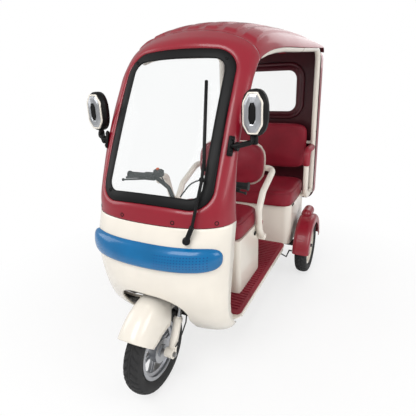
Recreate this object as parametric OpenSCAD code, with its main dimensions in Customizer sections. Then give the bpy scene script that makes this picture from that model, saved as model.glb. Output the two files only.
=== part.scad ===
/* [Running gear] */
// Distance between the front axle and the rear axle
wheelbase = 1392; // [1340:1:1440]
// Distance between the middle planes of the two rear wheels
track = 854; // [840:1:870]
// Outer diameter of each tyre
tyre_od = 408; // [398:1:416]
// Width of each tyre
tyre_w = 86; // [78:1:90]
// Diameter over the rims' flanges
rim_od = 278; // [266:1:284]
// Diameter of the front axle
axle_d = 12; // [10:1:15]
// Diameter of the rear stub axles
stub_d = 25; // [20:1:28]
// Running gap of a bearing seat
bearing_gap = 0.3; // [0.2:0.1:0.5]

/* [Steering] */
// Angle of the steering axis from the vertical
rake = 28; // [26:1:30]
// Distance of the front axle ahead of the steering axis
fork_offset = 43; // [38:1:48]
// Distance between the centre lines of the fork legs
fork_span = 164; // [160:1:172]
// Diameter of the painted lower fork legs
leg_d = 40; // [34:1:42]
// Diameter of the bright upper fork tubes
fork_tube_d = 28; // [24:1:30]
// Height of the lower yoke above the front axle, along the steering axis
yoke_h = 322; // [316:1:330]
// Height of the handlebar clamp above the front axle, along the steering axis
clamp_h = 676; // [660:1:690]
// Length of the frame's head tube
head_l = 130; // [110:1:150]
// Outer diameter of the frame's head tube
head_d = 54; // [48:1:58]
// Diameter of the steering stem
stem_d = 30; // [26:1:34]
// Half of the handlebar's width over the grips
bar_reach = 338; // [320:1:350]
// Height of the grips above the handlebar clamp
bar_rise = 172; // [150:1:180]
// Diameter of the handlebar tube
bar_d = 22; // [19:1:25]

/* [Body] */
// Width of the front shell over its sides at the colour seam
body_w = 700; // [680:2:720]
// Width of the canopy at its rear edge
canopy_w = 824; // [810:2:836]
// Height of the top of the roof
roof_h = 1706; // [1700:1:1740]
// Height of the seam between the nose and the windscreen surround
seam_h = 845; // [835:1:855]
// Thickness of the moulded body shells
shell_t = 6; // [4:0.5:8]
// Number of raised ribs along the roof
rib_count = 7; // [5:2:9]
// Height of the roof ribs
rib_h = 9; // [5:1:12]
// Width of the windscreen opening
screen_w = 512; // [490:2:520]
// Corner radius of the windscreen opening
screen_r = 88; // [60:2:100]
// Width of the black border round the windscreen glass
border_w = 30; // [24:1:36]
// Height of the floor under the mat
floor_h = 270; // [262:1:276]
// Width of the floor over its edges
floor_w = 642; // [620:2:650]
// Pitch of the ribs across the floor mat
mat_pitch = 24; // [18:1:30]

/* [Seats] */
// Width of the driver's seat box
driver_box_w = 500; // [470:2:510]
// Length of the driver's seat box
driver_box_l = 345; // [310:1:355]
// Height of the top rim of the driver's seat box
driver_box_h = 596; // [580:1:606]
// Width of the bench box
bench_box_w = 690; // [660:2:700]
// Length of the bench box
bench_box_l = 430; // [410:2:440]
// Height of the top rim of the bench box
bench_box_h = 560; // [545:1:570]
// Wall thickness of the seat boxes
box_t = 5; // [3:0.5:6]
// Thickness of the seat cushions
cushion_t = 122; // [100:1:126]
// Diameter of the painted seat and canopy tubes
tube_d = 38; // [32:1:42]

/* [Rear end] */
// Distance from the rear axle back to the rear panel's outer face
tail_reach = 412; // [406:1:418]
// Depth of the rear panel from its outer face to its front edge
rear_panel_d = 76; // [60:1:84]
// Height of the lower edge of the rear panel
rear_panel_z = 470; // [455:1:480]
// Width of the rear window opening
rear_window_w = 470; // [440:2:500]
// Height of the rear window opening
rear_window_h = 335; // [310:1:350]
// Clear distance between a rear tyre and its mudguard
guard_gap = 34; // [28:1:40]

/* [Hidden] */

red = "#9b1e32";
cream = "#ebe1d2";
black = "#202124";
bright = "#c8cacc";
seat_red = "#781c2a";
blue = "#0080c8";

$fn = 48;
tyre_r = tyre_od / 2;
rim_r = rim_od / 2;
nose_reach = tyre_r;
overall_l = nose_reach + wheelbase + tail_reach;
fa = overall_l / 2 - nose_reach;
ra = fa - wheelbase;
za = tyre_r;
rear_x = ra - tail_reach;
join_gap = 0.3;

// Vectors and bent tubes
function unit(v) = v / norm(v);
// Points of a path whose corners are rounded to radius r, with steps points on each bend
function bend_points(p, a, b, r, steps) =
  let (u = unit(a - p), v = unit(b - p), turn = 180 - acos(max(-1, min(1, u * v))))
  turn < 1 ? [p] :
  let (reach = r * tan(turn / 2), centre = p + unit(u + v) * r / cos(turn / 2),
       s = p + u * reach, w = unit(s - centre), z = unit((p + v * reach) - centre),
       n = unit(z - w * (z * w)))
  [for (i = [0:steps]) let (g = turn * i / steps) centre + r * (w * cos(g) + n * sin(g))];
function round_path(pts, r, steps = 4) = [
  pts[0],
  for (i = [1:len(pts) - 2]) for (q = bend_points(pts[i], pts[i - 1], pts[i + 1], r, steps)) q,
  pts[len(pts) - 1]
];
function heading(p, i) =
  i == 0 ? unit(p[1] - p[0]) :
  i == len(p) - 1 ? unit(p[i] - p[i - 1]) : unit(unit(p[i + 1] - p[i]) + unit(p[i] - p[i - 1]));
// A round bar of radius r along a path; side is a direction that the path never runs along
module bar(path, r, side = [0, 1, 0], sides = 14) {
  rings = [for (i = [0:len(path) - 1])
    let (t = heading(path, i), u = unit(cross(side, t)), v = cross(t, u))
    [for (k = [0:sides - 1]) path[i] + r * (u * cos(360 * k / sides) + v * sin(360 * k / sides))]];
  loft(rings);
}
// Skin over rings that have equal numbers of points, closed at both ends; the ends of a wall's rings,
// which run along its outer side and back along its inner side, are closed by strips
function total(v, i = 0) = i == len(v) - 1 ? v[i] : v[i] + total(v, i + 1);
function ring_area(ring) =
  total([for (i = [0:len(ring) - 1]) cross(ring[i] - ring[0], ring[(i + 1) % len(ring)] - ring[0])]);
module loft(rings, wall = false) {
  n = len(rings[0]);
  last = len(rings) - 1;
  ahead = ring_area(rings[0]) * (total(rings[1]) - total(rings[0])) > 0;
  cap = wall ? [for (i = [0:n / 2 - 2]) [i, i + 1, n - 2 - i, n - 1 - i]] : [[for (i = [0:n - 1]) i]];
  faces = concat(
    [for (f = cap) reversed(f)],
    [for (k = [0:last - 1]) for (i = [0:n - 1])
      [k * n + i, k * n + (i + 1) % n, (k + 1) * n + (i + 1) % n, (k + 1) * n + i]],
    [for (f = cap) [for (i = f) last * n + i]]);
  polyhedron(points = [for (ring = rings) for (p = ring) p],
    faces = ahead ? [for (f = faces) reversed(f)] : faces, convexity = 12);
}
function flip_y(path) = [for (p = path) [p.x, -p.y, p.z]];
module both_sides() {
  children();
  mirror([0, 1, 0]) children();
}
module rounded_rect(w, h, r) {
  polygon([for (c = [[1, 1, 0], [-1, 1, 90], [-1, -1, 180], [1, -1, 270]]) for (i = [0:5])
    [c.x * (w / 2 - r) + r * cos(c.z + 18 * i), c.y * (h / 2 - r) + r * sin(c.z + 18 * i)]]);
}
// A box that stands on z = 0, centred in y, from x = 0 back to x = -l, with rounded upright edges
module upright_box(l, w, h, r) {
  translate([-l / 2, 0, 0]) linear_extrude(h) rounded_rect(l, w, r);
}

// Canopy shell sections from the seam over the windscreen to the roof's rear edge
// Columns: outer x, outer z, edge x, edge z, wider than the seam by (each side), from the front axle, and
// the exponent that squares the section: 2 is half an ellipse
front_sections = [
  [ -15,    0, -190,    0,   0, 2.4],
  [ -45,  104, -196,   95,  -5, 2.5],
  [-149,  295, -224,  250,  -8, 2.4],
  [-232,  448, -296,  410,  -8, 2.3],
  [-307,  586, -372,  525,  -4, 2.2],
  [-345,  655, -414,  586,  -2, 2.1],
  [-392,  735, -488,  650,  -2, 2]
];
// Columns: outer x, outer z below the roof's top, edge x, edge z below the top, narrower than the
// canopy's rear edge by (each side), exponent; x from the front axle
crown_sections = [
  [-392, seam_h + 735 - roof_h, -488, seam_h + 650 - roof_h, canopy_w / 2 - body_w / 2 + 2, 2],
  [-440,  -90, -560, -182, 58, 2],
  [-520,  -54, -640, -164, 50, 2],
  [-650,  -24, -740, -150, 40, 2],
  [-850,   -6, -880, -139, 32, 2]
];
// The same columns, with x from the rear axle
tail_sections = [
  [ 250,    4,  250, -129, 17, 2],
  [ -60,   -4,  -60, -114,  4, 2],
  [-230,  -22, -240, -105,  0, 2.1],
  [-330,  -46, -330, -100,  0, 2.2],
  [-410,  -88, -410,  -98,  4, 2.2]
];
// The windscreen surround reaches back over the driver to this plane, where the roof panel starts
roof_seam_x = fa - 488;
function front_station(s) =
  [fa + s[0], seam_h + s[1], fa + s[2], seam_h + s[3], body_w / 2 + s[4], s[5]];
function top_station(s, x0) =
  [x0 + s[0], roof_h + s[1], x0 + s[2], roof_h + s[3], canopy_w / 2 - s[4], s[5]];
surround_stations = [for (s = front_sections) front_station(s)];
roof_stations = concat([for (s = crown_sections) top_station(s, fa)],
                       [for (s = tail_sections) top_station(s, ra)]);
// Half a squared ellipse from the right edge over the middle to the left edge, moved inwards by inset
function squared(v, e) = sign(v) * pow(abs(v), 2 / e);
function arch(s, inset, steps) =
  let (p = [s[0], 0, s[1]], q = [s[2], 0, s[3]], w = s[4] - inset, d = unit(q - p), p2 = p + d * inset)
  [for (i = [0:steps]) let (a = 180 * i / steps - 90)
    p2 + (q - p2) * (1 - squared(max(0, cos(a)), s[5])) + [0, w * squared(sin(a), s[5]), 0]];
function reversed(v) = [for (i = [len(v) - 1:-1:0]) v[i]];
function wall_ring(s, inset, t, steps) =
  concat(arch(s, inset, steps), reversed(arch(s, inset + t, steps)));
module shell_wall(stations, inset, t, steps = 20) {
  loft([for (s = stations) wall_ring(s, inset, t, steps)], true);
}

// Slope of the windscreen's middle line
screen_low = surround_stations[1];
screen_high = surround_stations[5];
screen_tilt = atan2(screen_low[0] - screen_high[0], screen_high[1] - screen_low[1]);
screen_l = 665;
screen_mid_z = 1222;
screen_mid_x = screen_low[0] - (screen_mid_z - screen_low[1]) * tan(screen_tilt);
// A prism through the windscreen, smaller than the opening by shrink all round
module screen_prism(shrink) {
  translate([screen_mid_x, 0, screen_mid_z]) rotate([0, 90 - screen_tilt, 0]) translate([0, 0, -150])
    linear_extrude(250) rounded_rect(screen_l - 2 * shrink, screen_w - 2 * shrink, screen_r - shrink);
}
// Everything ahead of the roof seam
module ahead_of_seam() { translate([roof_seam_x, -canopy_w, 0]) cube([overall_l, 2 * canopy_w, 2 * roof_h]); }
module windscreen_surround() {
  color(red) difference() {
    intersection() {
      shell_wall(concat(surround_stations, [roof_stations[1], roof_stations[2], roof_stations[3]]), 0, shell_t);
      ahead_of_seam();
    }
    screen_prism(0);
  }
}
module windscreen_border() {
  color(black) intersection() {
    shell_wall(surround_stations, 2, shell_t + 2);
    difference() {
      screen_prism(join_gap);
      screen_prism(border_w);
    }
  }
}
module windscreen_glass() {
  color([0.75, 0.85, 0.88, 0.35]) intersection() {
    shell_wall(surround_stations, 4, shell_t - 1);
    screen_prism(border_w + join_gap);
  }
}

// Roof sections carry raised ribs on their outer side
roof_steps = 44;
rib_pitch = 96;
function rib_at(y) =
  let (k = round(y / rib_pitch), d = abs(y - k * rib_pitch) / (rib_pitch / 2))
  abs(k) > (rib_count - 1) / 2 ? 0 : d < 0.45 ? 1 : d < 0.75 ? (0.75 - d) / 0.3 : 0;
function ribbed_ring(s, rise) =
  concat([for (p = arch(s, 0, roof_steps)) p + [0, 0, rise * rib_at(p.y)]],
         reversed(arch(s, shell_t, roof_steps)));
module roof_panel() {
  stations = concat([surround_stations[4], surround_stations[5]], roof_stations);
  last = len(stations) - 1;
  color(red) difference() {
    loft([for (k = [0:last]) ribbed_ring(stations[k], k < 3 || k == last ? 0 : rib_h)], true);
    translate([-join_gap, 0, 0]) ahead_of_seam();
  }
}

// Nose sections below the seam; columns: height, middle x, side edge x, half width less than the seam's,
// exponent of the section; the lowest sections are the lobes beside the wheel arch
nose_sections = [
  [845,  -15, -190,   0, 2.4],
  [800,    6, -178,   0, 2.4],
  [750,   26, -166,   0, 2.4],
  [690,   44, -156,   0, 2.3],
  [620,   50, -148,   4, 2.2],
  [550,   44, -142,   8, 2.1],
  [490,   24, -140,  12, 2.1],
  [430,   -8, -146,  16, 2.2],
  [370,  -50, -166,  20, 2.4],
  [310, -104, -212,  26, 2.6],
  [262, -150, -266,  38, 2.8],
  [228, -190, -306,  58, 2.8],
  [212, -236, -306,  90, 2.6]
];
nose_low = 212;
nose_top = 845;
function nose_z(z) = z + (seam_h - nose_top) * (z - nose_low) / (nose_top - nose_low);
function nose_station(s) = [fa + s[1], nose_z(s[0]), fa + s[2], nose_z(s[0]), body_w / 2 - s[3], s[4]];
nose_stations = reversed([for (s = nose_sections) nose_station(s)]);
arch_half = 176;
arch_low = 138;
arch_top = 530;
arch_round = 110;
// The opening round the front wheel: sides that close in downwards under a flattened arch
module wheel_arch() {
  translate([fa - 420, 0, 0]) rotate([90, 0, 90]) linear_extrude(620)
    polygon(concat([[-arch_low, nose_low - 12], [arch_low, nose_low - 12]],
      [for (i = [0:12]) let (a = 15 * i)
        [arch_half * sign(cos(a)) * pow(abs(cos(a)), 0.7), arch_top - arch_round + arch_round * sin(a)]]));
}
module nose_fairing() {
  color(cream) difference() {
    shell_wall(nose_stations, 0, shell_t, 24);
    wheel_arch();
  }
}
// Leg shield: it bulges back from the nose's side edges; columns: height, middle x from the front axle
shield_rows = [[276, -288], [320, -296], [370, -300], [430, -304], [490, -308], [550, -310], [620, -306],
  [690, -292], [750, -280], [812, -268]];
stem_hole = 80;
function shield_station(s) = let (n = nose_at(s[0]))
  [fa + s[1], s[0], n[2] - 1, s[0], n[4] - shell_t - join_gap, 2];
module leg_shield() {
  color(cream) difference() {
    shell_wall([for (s = shield_rows) shield_station(s)], 0, shell_t - 1, 16);
    steer() translate([-fork_offset, 0, yoke_h + 40]) cylinder(d = stem_hole, h = clamp_h - yoke_h - 40);
  }
}
// Black top of the dash with its raised instrument pod; outline points are x from the front axle and height
dash_line = [[-262, 815], [-30, 815], [-30, 838], [-120, 872], [-168, 906], [-238, 900], [-268, 846]];
module dash_panel() {
  color(black) intersection() {
    union() {
      loft([for (s = [nose_stations[len(nose_stations) - 2], nose_stations[len(nose_stations) - 1]])
        arch(s, shell_t + 3 * join_gap, 24)]);
      loft([for (s = [surround_stations[0], surround_stations[1]]) arch(s, shell_t + 3, 24)]);
    }
    translate([0, body_w / 2, 0]) rotate([90, 0, 0]) linear_extrude(body_w)
      polygon([for (p = dash_line) [fa + p.x, p.y]]);
  }
}

// Lamp band across the nose: it follows the nose and stands proud of it
lamp_z = 722;
lamp_h = 92;
lamp_proud = 24;
lamp_seat = 1.6;
lamp_end = 62;
function nose_at(z) = let (
  k = [for (i = [0:len(nose_stations) - 2]) if (nose_stations[i][1] <= z && nose_stations[i + 1][1] > z) i][0],
  a = nose_stations[k], b = nose_stations[k + 1], f = (z - a[1]) / (b[1] - a[1])) a + (b - a) * f;
// Columns: height over the band's middle as a share of half its height, share of the full proudness
lamp_rows = [[-1, 0.15], [-0.8, 0.7], [-0.3, 0.95], [0.25, 1], [0.75, 0.8], [1, 0.25]];
lamp_steps = 28;
function lamp_point(row, i, back) = let (
  t = 2 * i / lamp_steps - 1, taper = pow(1 - pow(abs(t), 3.2), 0.5), drop = 26 * t * t,
  z = lamp_z + (back ? row[0] * 0.97 : row[0]) * lamp_h / 2 * max(0.12, taper) - drop,
  s = nose_at(z), proud = back ? lamp_seat : lamp_proud * row[1] * max(0.15, taper),
  v = sin(lamp_end * t), e = s[5], u = pow(1 - pow(abs(v), e), 1 / e),
  p = [s[0] - (s[0] - s[2]) * (1 - u), s[4] * v, z],
  n = unit([pow(u, e - 1) / (s[0] - s[2]), sign(v) * pow(abs(v), e - 1) / s[4], 0]))
  p + n * proud;
module lamp_band() {
  color(blue) loft([for (i = [0:lamp_steps]) concat(
    [for (row = lamp_rows) lamp_point(row, i, false)],
    [for (row = reversed(lamp_rows)) lamp_point(row, i, true)])]);
}

// Wiper: a spindle on the nose, an arm and a blade along the screen's left side; points from the front axle
wiper_foot = [[-16.5, 202.4, 801.3], [1, 209, 809]];
wiper_arm = [[-1, 208, 808], [-24, 230, 860], [-100, 242, 1037], [-156, 227, 1150], [-212, 207, 1266]];
wiper_blade = [[-126, 238, 1071], [-163, 225, 1148], [-219, 206, 1264], [-303, 176, 1414]];
function from_front(pts) = [for (p = pts) [fa + p.x, p.y, p.z]];
module wiper() {
  color(black) {
    bar(from_front(wiper_foot), 10, [0, 1, 0], 12);
    bar(from_front(wiper_arm), 5, [0, 1, 0], 8);
    bar(from_front(wiper_blade), 5, [0, 1, 0], 8);
  }
}

// Steering frame: z along the steering axis, x forward, origin on the front axle
module steer() {
  translate([fa, 0, za]) rotate([0, -rake, 0]) children();
}
leg_x = -20;
leg_top = 168;
leg_y = fork_span / 2;
lug_d = 46;
lug_l = leg_d + 2;
module fork_legs() {
  color(cream) steer() for (side = [-1, 1]) translate([0, side * leg_y, 0]) difference() {
    union() {
      translate([leg_x, 0, -14]) cylinder(d = leg_d, h = leg_top + 14);
      translate([leg_x, 0, leg_top - 26]) cylinder(d = leg_d + 6, h = 18);
      translate([-4, 0, 0]) rotate([90, 0, 0]) cylinder(d = lug_d, h = lug_l, center = true);
    }
    rotate([90, 0, 0]) cylinder(d = axle_d + 2 * bearing_gap, h = leg_d + 20, center = true);
    translate([leg_x, 0, 40]) cylinder(d = fork_tube_d + 2 * bearing_gap, h = leg_top);
  }
}
yoke_t = 22;
clamp_d = bar_d + 22;
module fork_tubes() {
  color(bright) steer() {
    for (side = [-1, 1]) translate([leg_x, side * leg_y, 60]) cylinder(d = fork_tube_d, h = yoke_h + yoke_t - 60);
    translate([leg_x, 0, yoke_h + yoke_t / 2]) cube([44, fork_span + 40, yoke_t], center = true);
    translate([-fork_offset, 0, yoke_h]) cylinder(d = 52, h = yoke_t);
    translate([-fork_offset, 0, yoke_h]) cylinder(d = stem_d, h = clamp_h - yoke_h - clamp_d / 2 - join_gap);
  }
}
module front_axle() {
  reach = leg_y + lug_l / 2 + 2;
  color(bright) translate([fa, 0, za]) rotate([90, 0, 0]) {
    cylinder(d = axle_d, h = 2 * reach + 20, center = true);
    for (side = [-1, 1]) translate([0, 0, side * (leg_y + lug_l / 2 + join_gap + 6)])
      cylinder(d = 24, h = 12, center = true, $fn = 6);
  }
}
// Front mudguard: sections fan out round the axle; columns: angle above straight ahead, inner radius,
// half width of the crown, depth of the side skirts
guard_fan = [
  [ 44, 268, 74, 120],
  [ 58, 275, 76, 140],
  [ 74, 283, 76, 150],
  [ 92, 290, 76, 156],
  [104, 292, 74, 150],
  [112, 291, 55, 100],
  [134, 282, 52,  60]
];
guard_t = 4;
function guard_ring(s, grow) = let (
  r = s[1] + grow, w = s[2] + grow, low = r - s[3],
  out = [for (i = [0:12]) let (a = 180 * i / 12 - 90)
    [low + (r - low) * pow(cos(a), 0.75), w * sign(sin(a)) * pow(abs(sin(a)), 0.62)]])
  [for (q = out) [fa + q.x * cos(s[0]), q.y, za + q.x * sin(s[0])]];
module front_mudguard() {
  color(cream) loft([for (s = guard_fan) concat(guard_ring(s, guard_t), reversed(guard_ring(s, 0)))], true);
  color(cream) steer() for (side = [-1, 1])
    translate([leg_x + leg_d / 2 + 3 + join_gap, side * 73 - 7, 150]) cube([26, 14, 34]);
}
// Handlebar points in the steering frame: x forward, y left, z along the axis, from the clamp
bar_half = [[0, 0, 0], [0, 46, 4], [26, 108, 108], [62, 168, bar_rise - 26], [78, 214, bar_rise - 22],
  [70, bar_reach, bar_rise - 22]];
bar_origin = [-fork_offset, 0, clamp_h];
function bar_point(p) = bar_origin + p;
bar_path = round_path([for (p = concat(reversed(flip_y([for (i = [1:5]) bar_half[i]])),
  [for (i = [1:5]) bar_half[i]])) bar_point(p)], 26, 3);
module handlebar() {
  color(black) steer() {
    bar(bar_path, bar_d / 2, [0.2, 0, 1], 12);
    translate([-fork_offset, 0, clamp_h]) rotate([90, 0, 0]) cylinder(d = clamp_d, h = 56, center = true);
  }
}
grip_d = 33;
grip_l = 112;
module hand_controls() {
  end = bar_point(bar_half[5]);
  inner = bar_point(bar_half[4]);
  d = unit(end - inner);
  color(black) steer() for (side = [-1, 1]) mirror([0, side < 0 ? 1 : 0, 0]) difference() {
    union() {
      bar([end - d * grip_l, end + d * 3], grip_d / 2, [1, 0, 0], 14);
      bar([end - d * 3, end + d * 4], grip_d / 2 + 4, [1, 0, 0], 14);
      bar([end - d * (grip_l + 52), end - d * (grip_l - 1)], 22, [1, 0, 0], 12);
      bar([end - d * (grip_l + 24) + [12, 0, -4], end - d * (grip_l - 6) + [44, 0, -16],
        end - d * 18 + [46, 0, -26]], 6, [0, 0, 1], 8);
    }
    bar([for (k = [len(bar_path) / 2:len(bar_path) - 1]) bar_path[k]], bar_d / 2 + 2 * join_gap, [0.2, 0, 1], 12);
  }
}
// Brake cable from the hand lever down to the front hub: points in the steering frame
cable_points = [[64, 196, 822], [50, 150, 790], [24, 90, 740], [0, 50, 690], [-20, 18, 620], [-20, 16, 560],
  [-6, 28, 500], [8, 70, 420], [4, 112, 330], [-8, 124, 240], [-30, 122, 150], [-22, 112, 70], [0, 106, 34]];
module brake_cable() {
  color(black) steer() bar(round_path(cable_points, 30, 2), 3.5, [1, 0, 0], 8);
}

// Wheels
// Half of a tyre's outline; columns: share of the way from the rim's seat to the tread, share of half width
tyre_outside = [[0, 0.62], [0.17, 0.62], [0.27, 0.84], [0.44, 0.98], [0.58, 1], [0.74, 0.95], [0.88, 0.76],
  [0.96, 0.48], [1, 0.16]];
tyre_wall = 8;
seat_r = rim_r - 11;
well_depth = 14;
module tyre() {
  deep = tyre_r - seat_r;
  half = tyre_w / 2;
  outer = [for (p = tyre_outside) [seat_r + p.x * deep, p.y * half]];
  inner = [for (p = tyre_outside) [seat_r + p.x * (deep - tyre_wall), p.y * half - tyre_wall * min(1, 1.3 - p.x)]];
  rotate([90, 0, 0]) rotate_extrude($fn = 64) polygon(concat(outer, reversed([for (p = outer) [p.x, -p.y]]),
    [for (p = inner) [p.x, -max(1, p.y)]], reversed([for (p = inner) [p.x, max(1, p.y)]])));
}
module rim_barrel() {
  half = tyre_w / 2 * 0.62;
  well = seat_r - well_depth;
  rotate([90, 0, 0]) rotate_extrude($fn = 64) polygon([
    [rim_r, half + 5], [rim_r, half + join_gap], [seat_r - join_gap, half + join_gap], [seat_r - join_gap, 16],
    [well, 12], [well, -12], [seat_r - join_gap, -16], [seat_r - join_gap, -half - join_gap],
    [rim_r, -half - join_gap], [rim_r, -half - 5], [seat_r - 5, -half - 5], [seat_r - 5, -18],
    [well - 5, -13], [well - 5, 13], [seat_r - 5, 18], [seat_r - 5, half + 5]]);
}
front_hub_l = 96;
hub_r = 30;
drum_r = 58;
front_spokes = 6;
spoke_gap = 9;
module front_wheel_rim() {
  difference() {
    union() {
      rim_barrel();
      rotate([90, 0, 0]) {
        cylinder(r = hub_r, h = front_hub_l, center = true);
        translate([0, 0, -front_hub_l / 2 + 6]) cylinder(r = drum_r, h = 40);
      }
      for (k = [0:front_spokes - 1]) rotate([0, 360 / front_spokes * k, 0]) for (side = [-1, 1])
        translate([0, -7, side * spoke_gap - 4]) cube([seat_r - well_depth - 2.5, 14, 8]);
    }
    rotate([90, 0, 0]) cylinder(d = axle_d + 2 * bearing_gap, h = front_hub_l + 10, center = true);
  }
}
module front_tyre() { color(black) translate([fa, 0, za]) tyre(); }
module front_rim() { color(bright) translate([fa, 0, za]) front_wheel_rim(); }
rear_hub_l = 70;
disc_t = 5;
disc_holes = 8;
module rear_wheel_rim(out) {
  difference() {
    union() {
      rim_barrel();
      rotate([90, 0, 0]) cylinder(r = hub_r + 8, h = rear_hub_l, center = true);
      translate([0, out * 8, 0]) rotate([90, 0, 0]) cylinder(r = seat_r - 12, h = disc_t, center = true);
    }
    rotate([90, 0, 0]) cylinder(d = stub_d + 2 * bearing_gap, h = rear_hub_l + 10, center = true);
    for (k = [0:disc_holes - 1]) rotate([0, 360 / disc_holes * k, 0]) translate([80, 0, 0]) rotate([90, 0, 0])
      cylinder(d = 26, h = 60, center = true);
  }
}
module rear_wheel_place(side) { translate([ra, side * track / 2, za]) children(); }
module rear_tyre_left() { color(black) rear_wheel_place(1) tyre(); }
module rear_tyre_right() { color(black) rear_wheel_place(-1) tyre(); }
module rear_rim_left() { color(cream) rear_wheel_place(1) rear_wheel_rim(1); }
module rear_rim_right() { color(cream) rear_wheel_place(-1) rear_wheel_rim(-1); }

// Chassis rails: height profile in x from the front axle (front part) and from the rear axle (rear part)
rail_w = 40;
rail_y = 180;
rail_low = 226;
rail_top = floor_h - join_gap;
kick_low = 300;
kick_top = 338;
rail_front = -250;
column_d = 36;
column_x = fa - 262;
column_lean = 4;
rail_outline = [[fa + rail_front, rail_low], [fa + rail_front, rail_top], [ra + 168, rail_top],
  [ra + 120, kick_top], [ra - 330, kick_top], [ra - 330, kick_low], [ra + 134, kick_low], [ra + 182, rail_low]];
head_low = 362;
tow_pitch = 120;
tow_hole_d = 11;
spring_reach = 128;
spring_rise = 26;
spring_w = 42;
leaf_t = 7;
leaf_count = 3;
leaf_lap = 0.6;
axle_tube_d = 50;
pad_t = 5;
eye_r = 11;
pin_d = 10;
eye_z = za + axle_tube_d / 2 + pad_t + leaf_count * leaf_t - (leaf_count - 1) * leaf_lap + spring_rise;
module chassis_frame() {
  color(black) {
    difference() {
      union() {
        for (side = [-1, 1]) translate([0, side * rail_y + rail_w / 2, 0]) rotate([90, 0, 0])
          linear_extrude(rail_w) polygon(rail_outline);
        for (x = [fa + rail_front - 20, fa - 480, fa - 760, ra + 200])
          translate([x, 0, (rail_low + rail_top) / 2]) cube([40, 2 * rail_y, rail_top - rail_low], center = true);
        for (x = [ra + 60, ra - 315])
          translate([x, 0, (kick_low + kick_top) / 2]) cube([30, 2 * rail_y, kick_top - kick_low], center = true);
        translate([column_x, 0, 248]) rotate([0, column_lean, 0]) cylinder(d = column_d, h = 246);
        steer() translate([-fork_offset, 0, head_low]) cylinder(d = head_d, h = head_l);
        for (side = [-1, 1]) for (end = [-1, 1]) for (cheek = [-1, 1])
          translate([ra + end * spring_reach, side * rail_y + cheek * (spring_w / 2 + 4 + join_gap), eye_z])
            cube([26, 8, 2 * (kick_low - eye_z) + 12], center = true);
        for (side = [-1, 1]) for (end = [-1, 1]) translate([ra + end * spring_reach, side * rail_y, kick_low + 3])
          cube([26, spring_w + 16, 6], center = true);
        for (side = [-1, 1]) for (end = [-1, 1]) translate([ra + end * spring_reach, side * rail_y, eye_z])
          rotate([90, 0, 0]) cylinder(d = pin_d, h = spring_w + 24, center = true);
      }
      steer() translate([-fork_offset, 0, head_low - 10]) cylinder(d = stem_d + 2 * bearing_gap, h = head_l + 20);
      for (side = [-1, 1]) translate([ra - 340, side * tow_pitch / 2, (kick_low + kick_top) / 2])
        rotate([0, 90, 0]) cylinder(d = tow_hole_d, h = 60);
    }
  }
}
// Leaf springs: arcs that rise to the eyes; each lower leaf is shorter
spring_r = (spring_reach * spring_reach + spring_rise * spring_rise) / (2 * spring_rise);
module leaf(k) {
  span = asin(spring_reach / spring_r) * (1 - 0.27 * k);
  r0 = spring_r + k * (leaf_t - leaf_lap);
  polygon(concat([for (i = [0:12]) let (a = -span + span * i / 6) [r0 * sin(a), -r0 * cos(a)]],
    [for (i = [12:-1:0]) let (a = -span + span * i / 6) [(r0 + leaf_t) * sin(a), -(r0 + leaf_t) * cos(a)]]));
}
module leaf_springs() {
  color(black) for (side = [-1, 1]) translate([ra, side * rail_y, eye_z]) rotate([90, 0, 0]) difference() {
    union() {
      translate([0, spring_r - spring_rise, -spring_w / 2]) linear_extrude(spring_w) union() {
        for (k = [0:leaf_count - 1]) leaf(k);
      }
      for (end = [-1, 1]) translate([end * spring_reach, 0, 0]) cylinder(r = eye_r, h = spring_w, center = true);
    }
    for (end = [-1, 1]) translate([end * spring_reach, 0, 0])
      cylinder(d = pin_d + 2 * bearing_gap, h = spring_w + 10, center = true);
  }
}
motor_d = 156;
motor_l = 190;
drum_d = 150;
drum_l = 34;
module rear_axle() {
  inner = track / 2 - rear_hub_l / 2 - join_gap;
  color(black) translate([ra, 0, za]) {
    rotate([90, 0, 0]) {
      cylinder(d = axle_tube_d, h = 2 * inner, center = true);
      cylinder(d = motor_d, h = motor_l, center = true);
      cylinder(d = motor_d + 16, h = 24, center = true);
      cylinder(d = stub_d, h = track + rear_hub_l + 26, center = true);
      for (side = [-1, 1]) translate([0, 0, side * (inner - drum_l / 2)]) cylinder(d = drum_d, h = drum_l, center = true);
    }
    for (side = [-1, 1]) translate([0, side * rail_y, axle_tube_d / 2 - 4 + pad_t / 2])
      cube([64, spring_w, 8 + pad_t], center = true);
  }
}

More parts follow.
